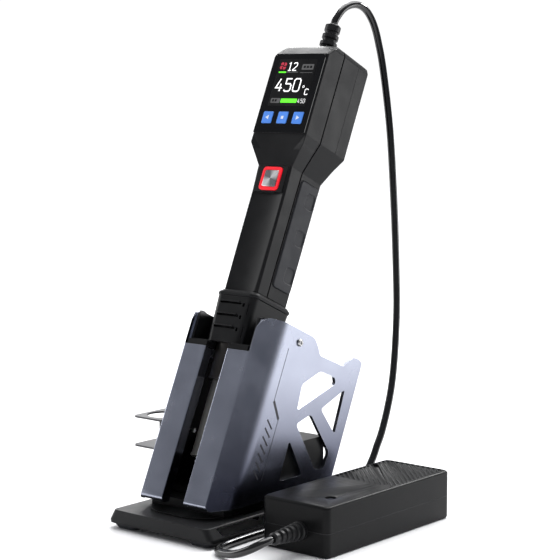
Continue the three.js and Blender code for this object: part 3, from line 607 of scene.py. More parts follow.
def make_cable():
    line = smooth_line(cable_route(), 2.5)
    cable = shape("cable", tube_along(line, CABLE_RADIUS), UPRIGHT)
    cable.data.shade_smooth()
    cable.data.materials.append(cable_rubber)
    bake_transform(cable)
    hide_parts("cable_upper", "cable_lower")


make_camera()
make_cable()


# ---------------------------------------------------------------- stand: base and core

def make_base():
    def outline(half, inset):
        return rectangle((-half, half), (BASE_FRONT + inset, BASE_REAR - inset), 5, 6)
    obj = shape("base", loft([
        (BASE_Z, outline(SKIRT_HALF, 0.6)), (SKIRT_Z, outline(SKIRT_HALF, 0)),
        (DECK_Z, outline(DECK_HALF, 0)),
    ]), UPRIGHT)
    round_edges(obj, 0.6, 3, 20)
    hollow = loft([
        (BASE_Z - 1, outline(SKIRT_HALF - 2.4, 2.4)), (SKIRT_Z, outline(SKIRT_HALF - 2.4, 2.4)),
        (DECK_Z - 2.4, outline(DECK_HALF - 2.4, 2.4)),
    ])
    window = prism([(-50, 13.6), (-46, 6.8), (88, 6.8), (92, 13.6)], -60, 60, "X")
    carve(obj, hollow, window)
    complete(obj, base_plastic, "station", "base_shell", edge=0.35)


def make_feet():
    spots = {
        "front_left": (-38, -50), "front_right": (38, -50),
        "rear_left": (-38, 95), "rear_right": (38, 95),
    }
    for corner, (x, y) in spots.items():
        layers = [
            (0, rectangle((x - 9, x + 9), (y - 7, y + 7), 4)),
            (1.2, rectangle((x - 10, x + 10), (y - 7.8, y + 7.8), 4.5)),
            (BASE_Z - GAP, rectangle((x - 12, x + 12), (y - 9, y + 9), 5)),
        ]
        foot = shape(f"rubber_foot_{corner}", loft(layers), UPRIGHT)
        complete(foot, soft_rubber, "station", f"foot_{corner}", edge=0.4)


def make_core():
    bow = rounded([(-38, 92), (-38, -28), (-22, -47), (22, -47), (38, -28), (38, 92)], 14, 8)
    inner = SIDE_HALF - SHEET - GAP
    obj = shape("core", prism(bow, DECK_Z + GAP, DECK_Z + 1.3), UPRIGHT)
    plinth = block((-37, 37), (-29, 90), (DECK_Z + GAP, PLATE_BOTTOM - GAP))
    floor = block((-inner, inner), (-14, 86), (PLATE_BOTTOM - 2, PLATE_BOTTOM + 3))
    upstand = block((-inner, inner), (24, 86), (PLATE_BOTTOM, 60))
    carve(obj, plinth, floor, upstand, operation="UNION")
    complete(obj, smooth_plastic, "station", "stand_core", edge=0.5)


# ---------------------------------------------------------------- stand: sheet metal

def mitres(points):
    """For each point of an open line: the point, its mitre's direction, and the mitre's cosine."""
    for i, point in enumerate(points):
        sides = [j for j in (i - 1, i) if 0 <= j < len(points) - 1]
        runs = [(points[j + 1] - points[j]).normalized() for j in sides]
        normals = [Vector((-run.y, run.x)) for run in runs]
        bisector = sum(normals, Vector((0, 0))).normalized()
        yield point, bisector, bisector.dot(normals[0])


def stripe(a, b, width):
    """The outline of a straight stripe from one point to another."""
    a, b = Vector(a), Vector(b)
    along = (b - a).normalized()
    across = Vector((-along.y, along.x)) * width / 2
    return [a - across, b - across, b + across, a + across]


def bent_sheet(path, sheet):
    """The outline of a strip of sheet bent along a path, its thickness to the left."""
    line = [Vector(point) for point in path]
    inner = [point + bisector * (sheet / cosine) for point, bisector, cosine in mitres(line)]
    return [*path, *reversed(inner)]


def plate_section():
    """The plate seen down the lean: slot flange, front strip, flared side and rear flange."""
    path = [
        (SLOT_HALF, 9.5), (SLOT_HALF, 0), (FRONT_HALF, 0), (SIDE_HALF, FLARE_DEPTH),
        (SIDE_HALF, PLATE_DEPTH), (SIDE_HALF - 6.5, PLATE_DEPTH),
    ]
    outline = bent_sheet(path, SHEET)
    radii = {1: 1.2, 2: 1.1, 3: 5, 4: 6, 7: 3.2, 8: 4, 9: 1, 10: 0.8}
    return rounded([(*p[:2], radii.get(i, 0.4)) for i, p in enumerate(outline)], steps=7)


def plate_outline():
    """The plate's side outline, as depth and height in the leaning frame."""
    rear_depth, rear_bottom = leaning(93, PLATE_BOTTOM)
    lip_depth, lip_height = leaning(LEAN_FOOT.y + 0.6, PLATE_BOTTOM)
    return rounded([
        (0, 3, 0), (0.4, -2.2, 3), (lip_depth + 2, lip_height, 1), (rear_depth + 2, rear_bottom + 0.9, 3),
        (PLATE_DEPTH + 1, 148.5, 1.5), (PLATE_DEPTH - 2, 150.4, 1.5), (120.5, 152, 3), (112.8, 151.2, 3),
        (102.8, 140.8, 1.5), (70.9, 139.6, 2.5), (66, 145, 0), (58.7, PLATE_TOP, 4), (18, PLATE_TOP, 2),
        (6, 149.5, 6), (-1, 137, 8),
    ], steps=6)


PLATE_WINDOWS = (
    ((76.8, 128.8), (96, 129.6), (99.2, 125), (61, 92), (58.7, 112.5)),
    ((112.9, 124.5), (89.5, 101.3), (115, 87.5)),
    ((79, 94.2), (64.5, 82), (102, 55), (112.5, 59), (114, 72.5)),
    ((61.8, 68.2), (62.3, 35.6), (88, 47.6)),
)
PLATE_SCREWS = ((36, 28.5), (80, 28.5))
RACK_SCREWS = ((16.3, 65), (31, 65))


def make_side_plate(name, side, node_name):
    def across(x0, x1):
        return sorted((side * x0, side * x1))
    section = [(side * x, y) for x, y in plate_section()]
    obj = shape(name, prism(section, -12, 156), LEANING)
    carve(obj, prism(plate_outline(), *across(0, 50), "X"), operation="INTERSECT")
    holes = [CRADLE_SCREW] + [leaning(*spot) for spot in PLATE_SCREWS]
    if side < 0:
        holes += [leaning(*spot) for spot in RACK_SCREWS]
    carve(
        obj,
        block(across(0, FRONT_HALF), (-1, 4.4), (STRIP_TOP, 160)),
        block(across(0, SLOT_HALF + 3.1), (3, 12), (STRIP_TOP - 1, 160)),
        *[prism(rounded(w, 3.4, 6), *across(30, 50), "X") for w in PLATE_WINDOWS],
        *[prism(circle(*at, 1.8, 20), *across(35, 50), "X") for at in holes],
    )
    complete(obj, anodised, "station", node_name, edge=0.32, segments=3)


def make_liner(name, side):
    """Black sheet inside the front of a side plate, behind the strip, with its reflections nearly off: painted
    shade for the inside of the slot.
    """
    path = [(SLOT_HALF + 3.4, SHEET + GAP), (31.4, SHEET + GAP), (40.5, FLARE_DEPTH + 0.8), (40.5, 55)]
    section = [(side * x, y) for x, y in rounded(bent_sheet(path, 0.6), 0.2)]
    obj = shape(name, prism(section, 3, CRADLE_BOTTOM - 0.5), LEANING)
    complete(obj, slot_shade_black, "station", edge=0)


def make_plate_markings():
    """Etched pinstripe on the right plate, with plain hatching beside it."""
    face = SIDE_HALF
    top, bend_in, bend_out, foot = (31.2, 133.2), (31.2, 91), (42, 79.5), (42, 31)
    fine, bold = 0.5, 2.4
    stripes = [(top, bend_in, fine), (bend_in, bend_out, bold), (bend_out, foot, fine)]
    stripes += [((29.5, 76 - 6.6 * i), (37.5, 70.5 - 6.6 * i), 1.5) for i in range(7)]
    bm = merged(*[prism(stripe(*ends), face - 0.05, face + 0.06, "X") for ends in stripes])
    obj = shape("plate_marking", bm, LEANING)
    complete(obj, plate_paint, "station", edge=0)


def make_screw(name, face_x, y, z, node_name, side=1, place=UPRIGHT):
    """Pan-head screw with a hex socket, along X."""
    profile = [
        (0, face_x - 12), (1.4, face_x - 12), (1.4, face_x + GAP), (2.7, face_x + GAP), (2.9, face_x + 0.55),
        (2.85, face_x + 1.1), (2.4, face_x + 1.62), (1.8, face_x + 1.8), (0, face_x + 1.8),
    ]
    if side < 0:
        profile = [(r, -h) for r, h in profile]
    obj = shape(name, turned(profile, (y, z), "X", 32), place)
    socket = prism(circle(y, z, 1.35, 6), *sorted((side * (face_x + 0.7), side * (face_x + 3))), "X")
    carve(obj, socket)
    complete(obj, steel, "station", node_name, edge=0.08, segments=1)


def make_flush_screw(name, y, z, node_name, side):
    """A countersunk screw whose head is level with the plate and finished like it."""
    profile = [(0, 32), (1.4, 32), (1.4, SIDE_HALF - 1.2), (1.7, SIDE_HALF - 0.6), (1.7, SIDE_HALF - 0.02),
               (0, SIDE_HALF - 0.02)]
    obj = shape(name, turned([(r, side * h) for r, h in profile], (y, z), "X", 32), UPRIGHT)
    complete(obj, anodised, "station", node_name, edge=0)


def make_stand_screws():
    for side, word in ((1, "right"), (-1, "left")):
        for i, (y, z) in enumerate(PLATE_SCREWS, 1):
            make_flush_screw(f"core_screw_{word}_{i}", y, z, f"plate_screw_{word}_{i}", side)
        make_screw(f"top_screw_{word}", SIDE_HALF, *CRADLE_SCREW, f"cradle_screw_{word}", side, LEANING)
    for i, (y, z) in enumerate(RACK_SCREWS, 1):
        make_screw(f"shelf_screw_{i}", SIDE_HALF + 1.5 + GAP, y, z, f"rack_screw_{i}", -1)


def make_rack():
    """C-shaped sheet on the left: an upper shelf with holes for nozzles and a plain lower one."""
    web, outer, sheet = -SIDE_HALF - GAP, -75, 1.5
    shelf = rounded([(web, -11), (web, 49), (outer, 49, 5), (outer, -11, 5)], steps=8)
    obj = shape("rack", block((web - sheet, web), (-11, 40), (52, 76.5)), UPRIGHT)
    carve(obj, prism(shelf, 75, 76.5), prism(shelf, 52, 53.5), operation="UNION")
    holes = [prism(circle(-58.5, y, 13, 64), 70, 80) for y in (7, 36)]
    screws = [prism(circle(y, z, 1.8, 20), -60, -40, "X") for y, z in RACK_SCREWS]
    carve(obj, *holes, *screws)
    complete(obj, grey_sheet, "station", "nozzle_rack", edge=0.3)


def make_cradle():
    """Moulded liner the collar stands in."""
    outer = [(30.6, 0.4), (30.9, 3.6), (39.8, 21), (40.6, 23.4), (40.6, CRADLE_BACK)]
    mirrored = [(-x, y) for x, y in reversed(outer)]
    obj = shape("cradle_liner", prism(outer + mirrored, CRADLE_BOTTOM, CRADLE_TOP), LEANING)
    mouth = [(29.2, 0), (29.2, 3.6), (35, 18), (35, 26)]
    side = rounded([
        (0.4, 119), (0.4, 149.6, 11), (46, 149.6, 3), (54, CRADLE_TOP), (70, CRADLE_TOP), (70, 119),
    ])
    carve(obj, prism(side, -50, 50, "X"), operation="INTERSECT")
    carve(
        obj,
        prism(mouth + [(-x, y) for x, y in reversed(mouth)], CRADLE_FLOOR, 160),
        prism(rectangle((-21, 21), (20, 56), 5), CRADLE_FLOOR, 160),
        block((-45, 45), (-1, 3.7), (CRADLE_FLOOR - 1.4, 160)),
        prism(rectangle((24, 38), (29, 58), 1.5), CRADLE_BOTTOM + 3, 160),
        prism(rectangle((-38, -24), (29, 58), 1.5), CRADLE_BOTTOM + 3, 160),
        prism(circle(0, TUBE_DEPTH, SLEEVE_RADIUS + 1.1, 48), 110, 130),
        block((-SLOT_HALF, SLOT_HALF), (-1, TUBE_DEPTH), (110, 130)),
        prism(circle(*CRADLE_SCREW, 1.6, 20), -60, 60, "X"),
    )
    complete(obj, smooth_plastic, "station", "cradle", edge=0.35)


# ---------------------------------------------------------------- power adapter

def adapter_outline(inset, radius=5):
    return rectangle(
        (ADAPTER_X[0] + inset, ADAPTER_X[1] - inset), (ADAPTER_Y[0] + inset, ADAPTER_Y[1] - inset), radius, 8)


LED_AT = (115, 0.6)


def diagonal_grooves():
    """Cutters for the fine diagonal ribbing over the rear half of the adapter's lid."""
    low_x, high_x = ADAPTER_X[0] + 3, ADAPTER_X[1] - 3
    low_y, high_y = 56, ADAPTER_Y[1] - 3
    pitch, width = 5.0, 2.4
    cutters = []
    start = low_x + low_y
    while start < high_x + high_y:
        start += pitch
        a = Vector((max(low_x, start - high_y), 0))
        b = Vector((min(high_x, start - low_y), 0))
        a.y, b.y = start - a.x, start - b.x
        if b.x - a.x < width * 2:
            continue
        cutters.append(prism(stripe(a, b, width), ADAPTER_HEIGHT - 0.9, ADAPTER_HEIGHT + 1))
    return merged(*cutters)


def make_adapter_cases():
    """The case is shaped whole, with its edges rounded, and then parted at the seam."""
    top, rear = ADAPTER_HEIGHT, ADAPTER_Y[1]
    inlet = prism(rectangle((87, 115), (8.7, 28.3), 1), rear - 21, rear + 5, "Y")
    led = prism(circle(*LED_AT, 4.4, 40), top - 5, top + 5)
    bar_a, bar_b = Vector((73.5, 110.5)), Vector((120.5, 61.5))
    across = Vector((1, 1)).normalized() * 2
    groove = prism([bar_a - across, bar_b - across, bar_b + across, bar_a + across], top - 2.5, top + 1)
    below, above = (-5, ADAPTER_SPLIT + 0.04), (ADAPTER_SPLIT + 0.12, top + 5)
    for name, keep, node_name in (
            ("adapter_lid", above, "adapter_top_case"), ("adapter_tray", below, "adapter_bottom_case")):
        case = shape(name, loft([
            (0, adapter_outline(1.2)), (1.2, adapter_outline(0)), (top - 1.4, adapter_outline(0)),
            (top, adapter_outline(1.4)),
        ]), UPRIGHT)
        round_edges(case, 1, 3, 20)
        if node_name == "adapter_top_case":
            carve(case, led.copy(), diagonal_grooves(), groove.copy())
            round_edges(case, 0.25, 2, 50)
        carve(case, inlet.copy())
        carve(case, block((50, 150), (-50, 150), keep), operation="INTERSECT")
        complete(case, adapter_plastic, "station", node_name, edge=0)


def make_led_lens():
    profile = [(0, 33), (5.5, 33), (5.5, 35.7), (4.1, 35.7), (4.1, 36.6), (3.4, 37.1), (1.8, 37.35), (0, 37.4)]
    obj = shape("status_light", turned(profile, LED_AT, "Z", 40), UPRIGHT)
    complete(obj, lens_glass, "station", "adapter_led_lens", edge=0)


def make_inlet():
    rear = ADAPTER_Y[1]
    obj = shape("inlet", prism(rectangle((87.3, 114.7), (9, 28), 0.8), rear - 20, rear - 0.4, "Y"), UPRIGHT)
    pocket = rounded([(89.3, 11), (112.7, 11), (112.7, 22.4), (108.5, 26.2), (93.5, 26.2), (89.3, 22.4)], 1)
    carve(obj, prism(pocket, rear - 16, rear + 1, "Y"))
    complete(obj, smooth_plastic, "station", "mains_inlet", edge=0.3)
    for i, (x, z) in enumerate(((94, 16.8), (101, 20.8), (108, 16.8)), 1):
        pin = shape(f"pin_{i}", block((x - 1, x + 1), (rear - 15.9, rear - 4), (z - 2, z + 2)), UPRIGHT)
        complete(pin, steel, "station", f"inlet_pin_{i}", edge=0.4, segments=3)


def relief_profile(length, base_radius, tip_radius, rings):
    """A strain relief of stacked rounded rings with slim necks between them."""
    profile = [(0, 0), (base_radius, 0)]
    pitch = length / rings
    for i in range(rings):
        outer = base_radius + (tip_radius - base_radius) * i / (rings - 1)
        low = i * pitch + 0.5
        high = (i + 0.66) * pitch if i + 1 < rings else length - 0.6
        profile += [(outer - 0.5, low - 0.3), (outer, low + 0.3), (outer, high - 0.5), (outer - 0.5, high)]
        if i + 1 < rings:
            profile += [(outer - 1.5, high + 0.15), (outer - 1.5, (i + 1) * pitch - 0.1)]
    profile += [(tip_radius - 1.2, length), (0, length)]
    return profile


def make_boots():
    profile = [(r, BOOT_BOTTOM + h) for r, h in relief_profile(BOOT_TOP - BOOT_BOTTOM, 7.4, 6.5, 4)]
    head = shape("head_strain_relief", turned(profile, (0, BOOT_DEPTH), "Z"), LEANING)
    complete(head, boot_rubber, "handpiece", "head_boot", edge=0)
    face = ADAPTER_Y[0] - GAP
    profile = [(r, face - h) for r, h in relief_profile(31, 7, 4.6, 6)]
    tail = shape("adapter_strain_relief", turned(profile, (107, 17.5), "Y"), UPRIGHT)
    complete(tail, boot_rubber, "station", "adapter_boot", edge=0)


# ---------------------------------------------------------------- handpiece: shells

HANDPIECE_SECTIONS = (
    (HANDLE_BOTTOM, dict(half=17, front=8.3, back=50)),
    (250, dict(half=17, front=7.6, back=50)),
    (272.5, dict(half=17.2, front=6.8, back=50.5, cut=1)),
    (285.5, dict(half=24.5, front=4.1, back=54, cut=7.5, edge=3.2, rear=22.2)),
    (290, dict(half=27, front=3, back=55.5, cut=6.4, edge=1.8, rear=24.1)),
    (297.5, dict(half=27, front=1.3, back=58.5, cut=1)),
    (366, dict(half=27, front=1.3, back=58.5, cut=1)),
    (372.5, dict(half=27, front=7.1, back=58.5, cut=1.4)),
    (376, dict(half=25.8, front=10.4, back=57.5, cut=1.8)),
    (377.5, dict(half=23.5, front=12.3, back=55.3, cut=2)),
)


def shell_section(inset, half, front, back, cut=1.5, edge=None, rear=None):
    """Front panel, forward-standing edges, straight sides and a back with small corners."""
    edge = (front + cut if edge is None else edge) + inset
    rear = (half if rear is None else rear) - inset
    front, back, half, corner = front + inset, back - inset, half - inset, 3
    return [
        (-half + cut, front), (half - cut, front), (half, edge), (rear, 20), (rear, back - corner),
        (rear - corner, back), (-rear + corner, back), (-rear, back - corner), (-rear, 20), (-half, edge),
    ]


def handpiece_hull(inset=0.0):
    top = HANDPIECE_SECTIONS[-1][0] - inset
    return loft([(min(height, top), shell_section(inset, **sizes)) for height, sizes in HANDPIECE_SECTIONS])


SEAM_GROOVE = 1.0


def square(x, height, size, depth_range, radius=1.4, steps=5):
    h = size / 2
    return prism(rectangle((x - h, x + h), (height - h, height + h), radius, steps), *depth_range, "Y")


def arc(x_half, depth_at_edge, sag, count=24):
    """Points of a shallow arc across X, deepest in the middle."""
    spots = [-1 + 2 * i / count for i in range(count + 1)]
    return [Vector((x_half * t, depth_at_edge + sag * (1 - t * t))) for t in spots]


def make_front_shell():
    obj = round_edges(shape("shell_front", handpiece_hull(), LEANING), 0.5, 3, 7)
    carve(obj, block((-60, 60), (-20, SEAM - SEAM_GROOVE), (100, 420)), operation="INTERSECT")
    scoop = prism([*arc(15.4, 8.0, 1.5), Vector((15.4, 2)), Vector((-15.4, 2))], 160, 250)
    carve(
        obj,
        scoop,
        block((-15.1, 15.1), (0, 8.3), (250.2, 272.6)),
        square(0, POWER_HEIGHT, POWER_RING + 2 * GAP, (0, 14), 3.5),
        *[square(x, KEY_HEIGHT, KEY_SIZE + 2 * GAP, (-5, 8)) for x in KEY_X],
    )
    complete(obj, shell_plastic, "handpiece", "front_shell", edge=0.28)
    lip = shape("shell_lip", handpiece_hull(1.2), LEANING)
    carve(lip, block((-60, 60), (SEAM - SEAM_GROOVE + 0.05, SEAM + 0.4), (100, 420)), operation="INTERSECT")
    complete(lip, smooth_plastic, "handpiece", edge=0)


SHELL_SCREWS = ((-10.5, 186, 50), (10.5, 186, 50), (-13, 308, 58.5), (13, 308, 58.5))


def make_rear_shell():
    obj = round_edges(shape("shell_rear", handpiece_hull(), LEANING), 0.5, 3, 7)
    carve(obj, block((-60, 60), (SEAM + 0.45, 80), (100, 420)), operation="INTERSECT")
    panel_lines = [block(sorted((side * 26.6, side * 30)), (42.4, 42.8), (296.5, 378)) for side in (-1, 1)]
    grille = merged(*[
        prism(rectangle((-13, 13), (328 + 4.6 * i, 330 + 4.6 * i), 0.9), 54, 65, "Y") for i in range(7)])
    wells = merged(*[prism(circle(x, h, 2.7, 24), back - 1.5, back + 3, "Y") for x, h, back in SHELL_SCREWS])
    seats = [prism(grip_outline(GAP), *span, "X") for span in ((15.6, 20), (-20, -15.6))]
    carve(obj, grille, wells, *seats, *panel_lines)
    complete(obj, shell_plastic, "handpiece", "rear_shell", edge=0.28)
    for i, (x, height, back) in enumerate(SHELL_SCREWS, 1):
        profile = [(0, back - 1.4), (2.4, back - 1.4), (2.4, back - 0.5), (1.9, back - 0.1), (0, back)]
        screw = shape(f"rear_screw_{i}", turned(profile, (x, height), "Y", 24), LEANING)
        carve(screw, prism(circle(x, height, 1.1, 6), back - 1, back + 1, "Y"))
        complete(screw, steel, "handpiece", f"shell_screw_{i}", edge=0)


def grip_outline(grow):
    low, high, near, far = 179 - grow, 268 + grow, 23.4 - grow, 46.6 + grow
    return rounded([(near, low), (near, high), (far, high), (far, low)], 4, 6)


def make_grips():
    """Soft side pads with three shallow square dimples for the fingers."""
    for side, word in ((1, "right"), (-1, "left")):
        pad = prism(grip_outline(0), *sorted((side * 15.9, side * 18.2)), "X")
        obj = shape(f"grip_pad_{word}", pad, LEANING)
        round_edges(obj, 1.4, 4, 30)
        dimples = [
            loft([
                (side * 17.2, rectangle((34.4, 44.2), (height - 5.8, height + 5.8), 3, 6)),
                (side * 18.6, rectangle((33, 45.6), (height - 7.2, height + 7.2), 4, 6)),
            ], "X")
            for height in (192.5, 223.5, 254.5)]
        carve(obj, *dimples)
        complete(obj, soft_rubber, "handpiece", f"grip_{word}", edge=0.35, segments=3, smooth=30)


# ---------------------------------------------------------------- handpiece: display and keys

LENS_FACE = 0.2


def make_lens():
    outline = rounded([(-26, 297.4, 1), (26, 297.4, 1), (26, 365.4, 3.5), (-26, 365.4, 3.5)], steps=8)
    obj = shape("lens", prism(outline, LENS_FACE, 1, "Y"), LEANING)
    carve(obj, *[square(x, KEY_HEIGHT, KEY_SIZE + 2 * GAP, (-1, 2)) for x in KEY_X])
    complete(obj, lens_glass, "handpiece", "display_lens", edge=0.15)


GLYPHS = {
    "0": [[
        (0.5, 0), (0.8, 0), (1, 0.25), (1, 1.75), (0.8, 2), (0.2, 2), (0, 1.75), (0, 0.25), (0.2, 0), (0.5, 0),
    ]],
    "1": [[(0.1, 1.75), (0.5, 2), (0.5, 0)], [(0.1, 0), (0.9, 0)]],
    "2": [[(0, 1.7), (0.2, 2), (0.8, 2), (1, 1.75), (1, 1.25), (0, 0.2), (0, 0), (1, 0)]],
    "4": [[(0.55, 2), (0, 0.55), (1, 0.55)], [(0.72, 1.2), (0.72, 0)]],
    "5": [[(0.95, 2), (0.1, 2), (0.1, 1.2), (0.8, 1.2), (1, 0.95), (1, 0.25), (0.8, 0), (0.2, 0), (0, 0.25)]],
    "C": [[(1, 1.7), (0.8, 2), (0.2, 2), (0, 1.75), (0, 0.25), (0.2, 0), (0.8, 0), (1, 0.3)]],
    "o": [[
        (0.5, 0), (0.8, 0), (1, 0.3), (1, 0.7), (0.8, 1), (0.2, 1), (0, 0.7), (0, 0.3), (0.2, 0), (0.5, 0),
    ]],
}


def ribbon(points, width):
    """A flat outline round an open line, with mitred corners."""
    left, right = [], []
    for point, bisector, cosine in mitres(points):
        reach = bisector * (width / 2 / max(0.5, cosine))
        left.append(point + reach)
        right.append(point - reach)
    return left, right


def ribbon_solid(points, width, low, high):
    """The ribbon with a thickness, along Y, built as a chain of quads so that it may bend back."""
    left, right = ribbon(points, width)
    bm = bmesh.new()
    corners = []
    for a, b in zip(left, right):
        ends = ((a, low), (b, low), (b, high), (a, high))
        corners.append([bm.verts.new((p.x, depth, p.y)) for p, depth in ends])
    return skinned(bm, corners)


def lettering(text, x, height, size, width, stroke, gap):
    """Figures drawn in straight strokes on the display, from their lower left corner."""
    strokes = []
    for character in text:
        for line in GLYPHS[character]:
            points = [Vector((x + u * width, height + v * size / 2)) for u, v in line]
            strokes.append(ribbon_solid(points, stroke, LENS_FACE - 0.06, LENS_FACE + 0.05))
        x += width + gap
    return strokes


def on_display(name, parts, look):
    obj = shape(name, merged(*parts), LEANING)
    complete(obj, look, "handpiece", edge=0)


def bar(x_range, height_range, radius=0.3):
    return prism(rectangle(x_range, height_range, radius), LENS_FACE - 0.05, LENS_FACE + 0.05, "Y")


def fan_icon(x, height, radius):
    """Four curved blades round a centre."""
    blades = []
    for quarter in range(4):
        outline = []
        for angle, reach in ((-10, 0.2), (2, 0.8), (28, 1.05), (58, 1.0), (78, 0.75), (52, 0.5), (40, 0.2)):
            turn = math.radians(angle + 90 * quarter)
            far = radius * reach
            outline.append(Vector((x + far * math.cos(turn), height + far * math.sin(turn))))
        blades.append(prism(rounded(outline, 0.4), LENS_FACE - 0.05, LENS_FACE + 0.05, "Y"))
    return blades


def make_display():
    active = prism(rectangle((-19, 19), (320.5, 361), 0.6), LENS_FACE - 0.02, LENS_FACE + 0.05, "Y")
    on_display("screen_area", [active], screen_black)
    digits = lettering("12", -8.6, 351, 6.6, 3.6, 0.8, 1.5)
    digits += lettering("450", -15.8, 333, 10.8, 6.3, 1.05, 2.6)
    digits += lettering("o", 11.7, 336.2, 3.4, 1.5, 0.4, 0)
    digits += lettering("C", 15.2, 330.2, 4.8, 3.2, 0.65, 0)
    digits += lettering("450", 10.7, 323.1, 3.4, 1.7, 0.24, 1.0)
    on_display("screen_digits", digits, glow_white)
    on_display("screen_fan", fan_icon(-14.1, 355, 3.6), glow_red)
    bars = [bar((-17.2, -9.6), (348.9, 350.1)), bar((-6.8, 9.6), (323.2, 326.7))]
    on_display("screen_bars", bars, glow_green)
    frames = [
        bar((5.4, 17.2), (351.6, 356.4), 0.9), bar((-17, -7.4), (322.9, 327), 0.9),
        bar((-9.2, 2.6), (349.2, 349.9), 0.2), bar((4.8, 17.4), (348.9, 349.3), 0.1)]
    on_display("screen_tags", frames, glow_grey)
    tag_slots = [
        prism(rectangle(span, rows, 0.3), LENS_FACE - 0.08, LENS_FACE + 0.02, "Y")
        for span, rows in (((7, 9.2), (353, 355)), ((10.2, 12.4), (353, 355)), ((13.4, 15.6), (353, 355)),
                           ((-15.6, -13.6), (324, 326)), ((-12.9, -10.9), (324, 326)))]
    on_display("screen_tag_marks", tag_slots, screen_black)


def make_module():
    obj = shape("module", block((-18.6, 18.6), (1.4, 5.4), (319.4, 361.6)), LEANING)
    complete(obj, screen_black, "handpiece", "display_module", edge=0.3)


def key_glyph(x, kind):
    height, depth = KEY_HEIGHT, (-0.16, 0)
    if kind == "centre":
        return prism(rectangle((x - 1.25, x + 1.25), (height - 1.25, height + 1.25), 0.3), *depth, "Y")
    way = -1 if kind == "left" else 1
    points = [(x - way * 1.3, height - 1.9), (x - way * 1.3, height + 1.9), (x + way * 1.9, height)]
    return prism(rounded(points, 0.25), *depth, "Y")


def make_keys():
    for kind, x in zip(("left", "centre", "right"), KEY_X):
        cap = shape(f"cap_{kind}", square(x, KEY_HEIGHT, KEY_SIZE, (-0.1, 4), 1.3), LEANING)
        complete(cap, key_blue, f"key_{kind}", f"key_{kind}", edge=0.3, segments=3)
        glyph = shape(f"cap_mark_{kind}", key_glyph(x, kind), LEANING)
        complete(glyph, key_mark, f"key_{kind}", edge=0)


def make_power_button():
    panel = shape("power_panel", block((-14.8, 14.8), (6.7, 8), (250.5, 272.3)), LEANING)
    carve(panel, square(0, POWER_HEIGHT, POWER_RING + 2 * GAP, (0, 14), 3.5))
    complete(panel, smooth_plastic, "handpiece", "button_panel", edge=0.25)
    light = shape("power_light", square(0, POWER_HEIGHT, POWER_RING, (6.2, 9.4), 3.6, 8), LEANING)
    carve(light, square(0, POWER_HEIGHT, POWER_CAP + 2 * GAP, (0, 14), 1.8))
    complete(light, ring_red, "handpiece", "power_ring", edge=0.4, segments=3)
    cap = shape("power_button", square(0, POWER_HEIGHT, POWER_CAP, (6, 10.2), 1.6), LEANING)
    complete(cap, power_metal, "power_cap", "power_cap", edge=0.5, segments=3, level=False)


# ---------------------------------------------------------------- handpiece: collar and tube

VENT_ROWS = tuple(enumerate((157.3, 147.3, 137.6)))


def collar_section(half, front, back):
    return rectangle((-half, half), (front, back), 6, 8)


def make_collar():
    obj = shape("collar", loft([
        (126, collar_section(18, 5.7, 49.5)), (163.2, collar_section(19.7, 5, 52)),
    ]), LEANING)
    slots = [
        prism(rectangle((-13.4 - 0.3 * row, 8.4 - 0.3 * row), (height - 0.8, height + 0.8), 0.7), 0, 8.5, "Y")
        for row, height in VENT_ROWS]
    ovals = [
        prism(rectangle((9.6 - 0.3 * row, 11.8 - 0.3 * row), (height - 2.4, height + 1), 1), 0, 8.5, "Y")
        for row, height in VENT_ROWS]
    marks = [
        prism(rectangle((15.2, 16), (low, high), 0.3), 0, 7, "Y")
        for low, high in ((149.3, 158.6), (130.6, 140))]
    ridges = [
        prism(rounded([(4, height + 0.8), (4.5, height + 1.9), (8, height + 2.2), (8, height + 0.8)], 0.3),
              -13.4 - 0.3 * row, 6.2 - 0.3 * row, "X")
        for row, height in VENT_ROWS]
    carve(obj, merged(*ridges), operation="UNION")
    carve(
        obj, prism(circle(0, TUBE_DEPTH, SLEEVE_RADIUS + GAP, 48), 120, 130), merged(*slots, *ovals),
        merged(*marks))
    complete(obj, smooth_plastic, "handpiece", "vent_collar", edge=0.3)


def make_collar_ring():
    widest = collar_section(20.2, 4.6, 52.6)
    obj = shape("collar_band", loft([
        (163.5, collar_section(19.9, 4.9, 52.3)), (164, widest), (165.8, widest),
        (168.2, collar_section(18, 6.4, 51)),
    ]), LEANING)
    complete(obj, shell_plastic, "handpiece", "collar_ring", edge=0.3)


def make_tubes():
    r, bottom = SLEEVE_RADIUS, 97
    sleeve_profile = [
        (12.3, bottom + 0.4), (12.6, bottom), (r - 0.6, bottom), (r, bottom + 0.6),
        (r, 129.5), (r - 1, 129.5), (r - 1, bottom + 1), (12.3, bottom + 1)]
    sleeve = shape("sleeve", turned(sleeve_profile, (0, TUBE_DEPTH), "Z", 64, closed=True), LEANING)
    complete(sleeve, tinted_steel, "handpiece", "heater_sleeve", edge=0)
    nozzle_profile = [
        (11, 37.3), (11.3, 37), (12.3, 37), (12.6, 37.3), (12.7, 37.8), (12.5, 38.5), (12.1, 39), (12, 39.4),
        (12, 112), (11, 112)]
    nozzle = shape("nozzle_tube", turned(nozzle_profile, (0, TUBE_DEPTH), "Z", 64, closed=True), LEANING)
    complete(nozzle, nozzle_steel, "handpiece", "nozzle", edge=0)


# ---------------------------------------------------------------- pieces kept from the CAD

KEPT = {
    "key_board": board_green, "control_board": board_green, "adapter_board": board_green,
    "adapter_transformer": copper, "adapter_capacitor": smooth_plastic, "adapter_heat_sink": steel,
    "power_switch": smooth_plastic, "heater_core": ceramic, "fan_housing": smooth_plastic,
    "fan_rotor": shell_plastic, "fan_motor": steel,
}


def dress_kept_nodes():
    for name, look in KEPT.items():
        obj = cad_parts[name]
        obj.data.materials.clear()
        obj.data.materials.append(look)


# ---------------------------------------------------------------- studio

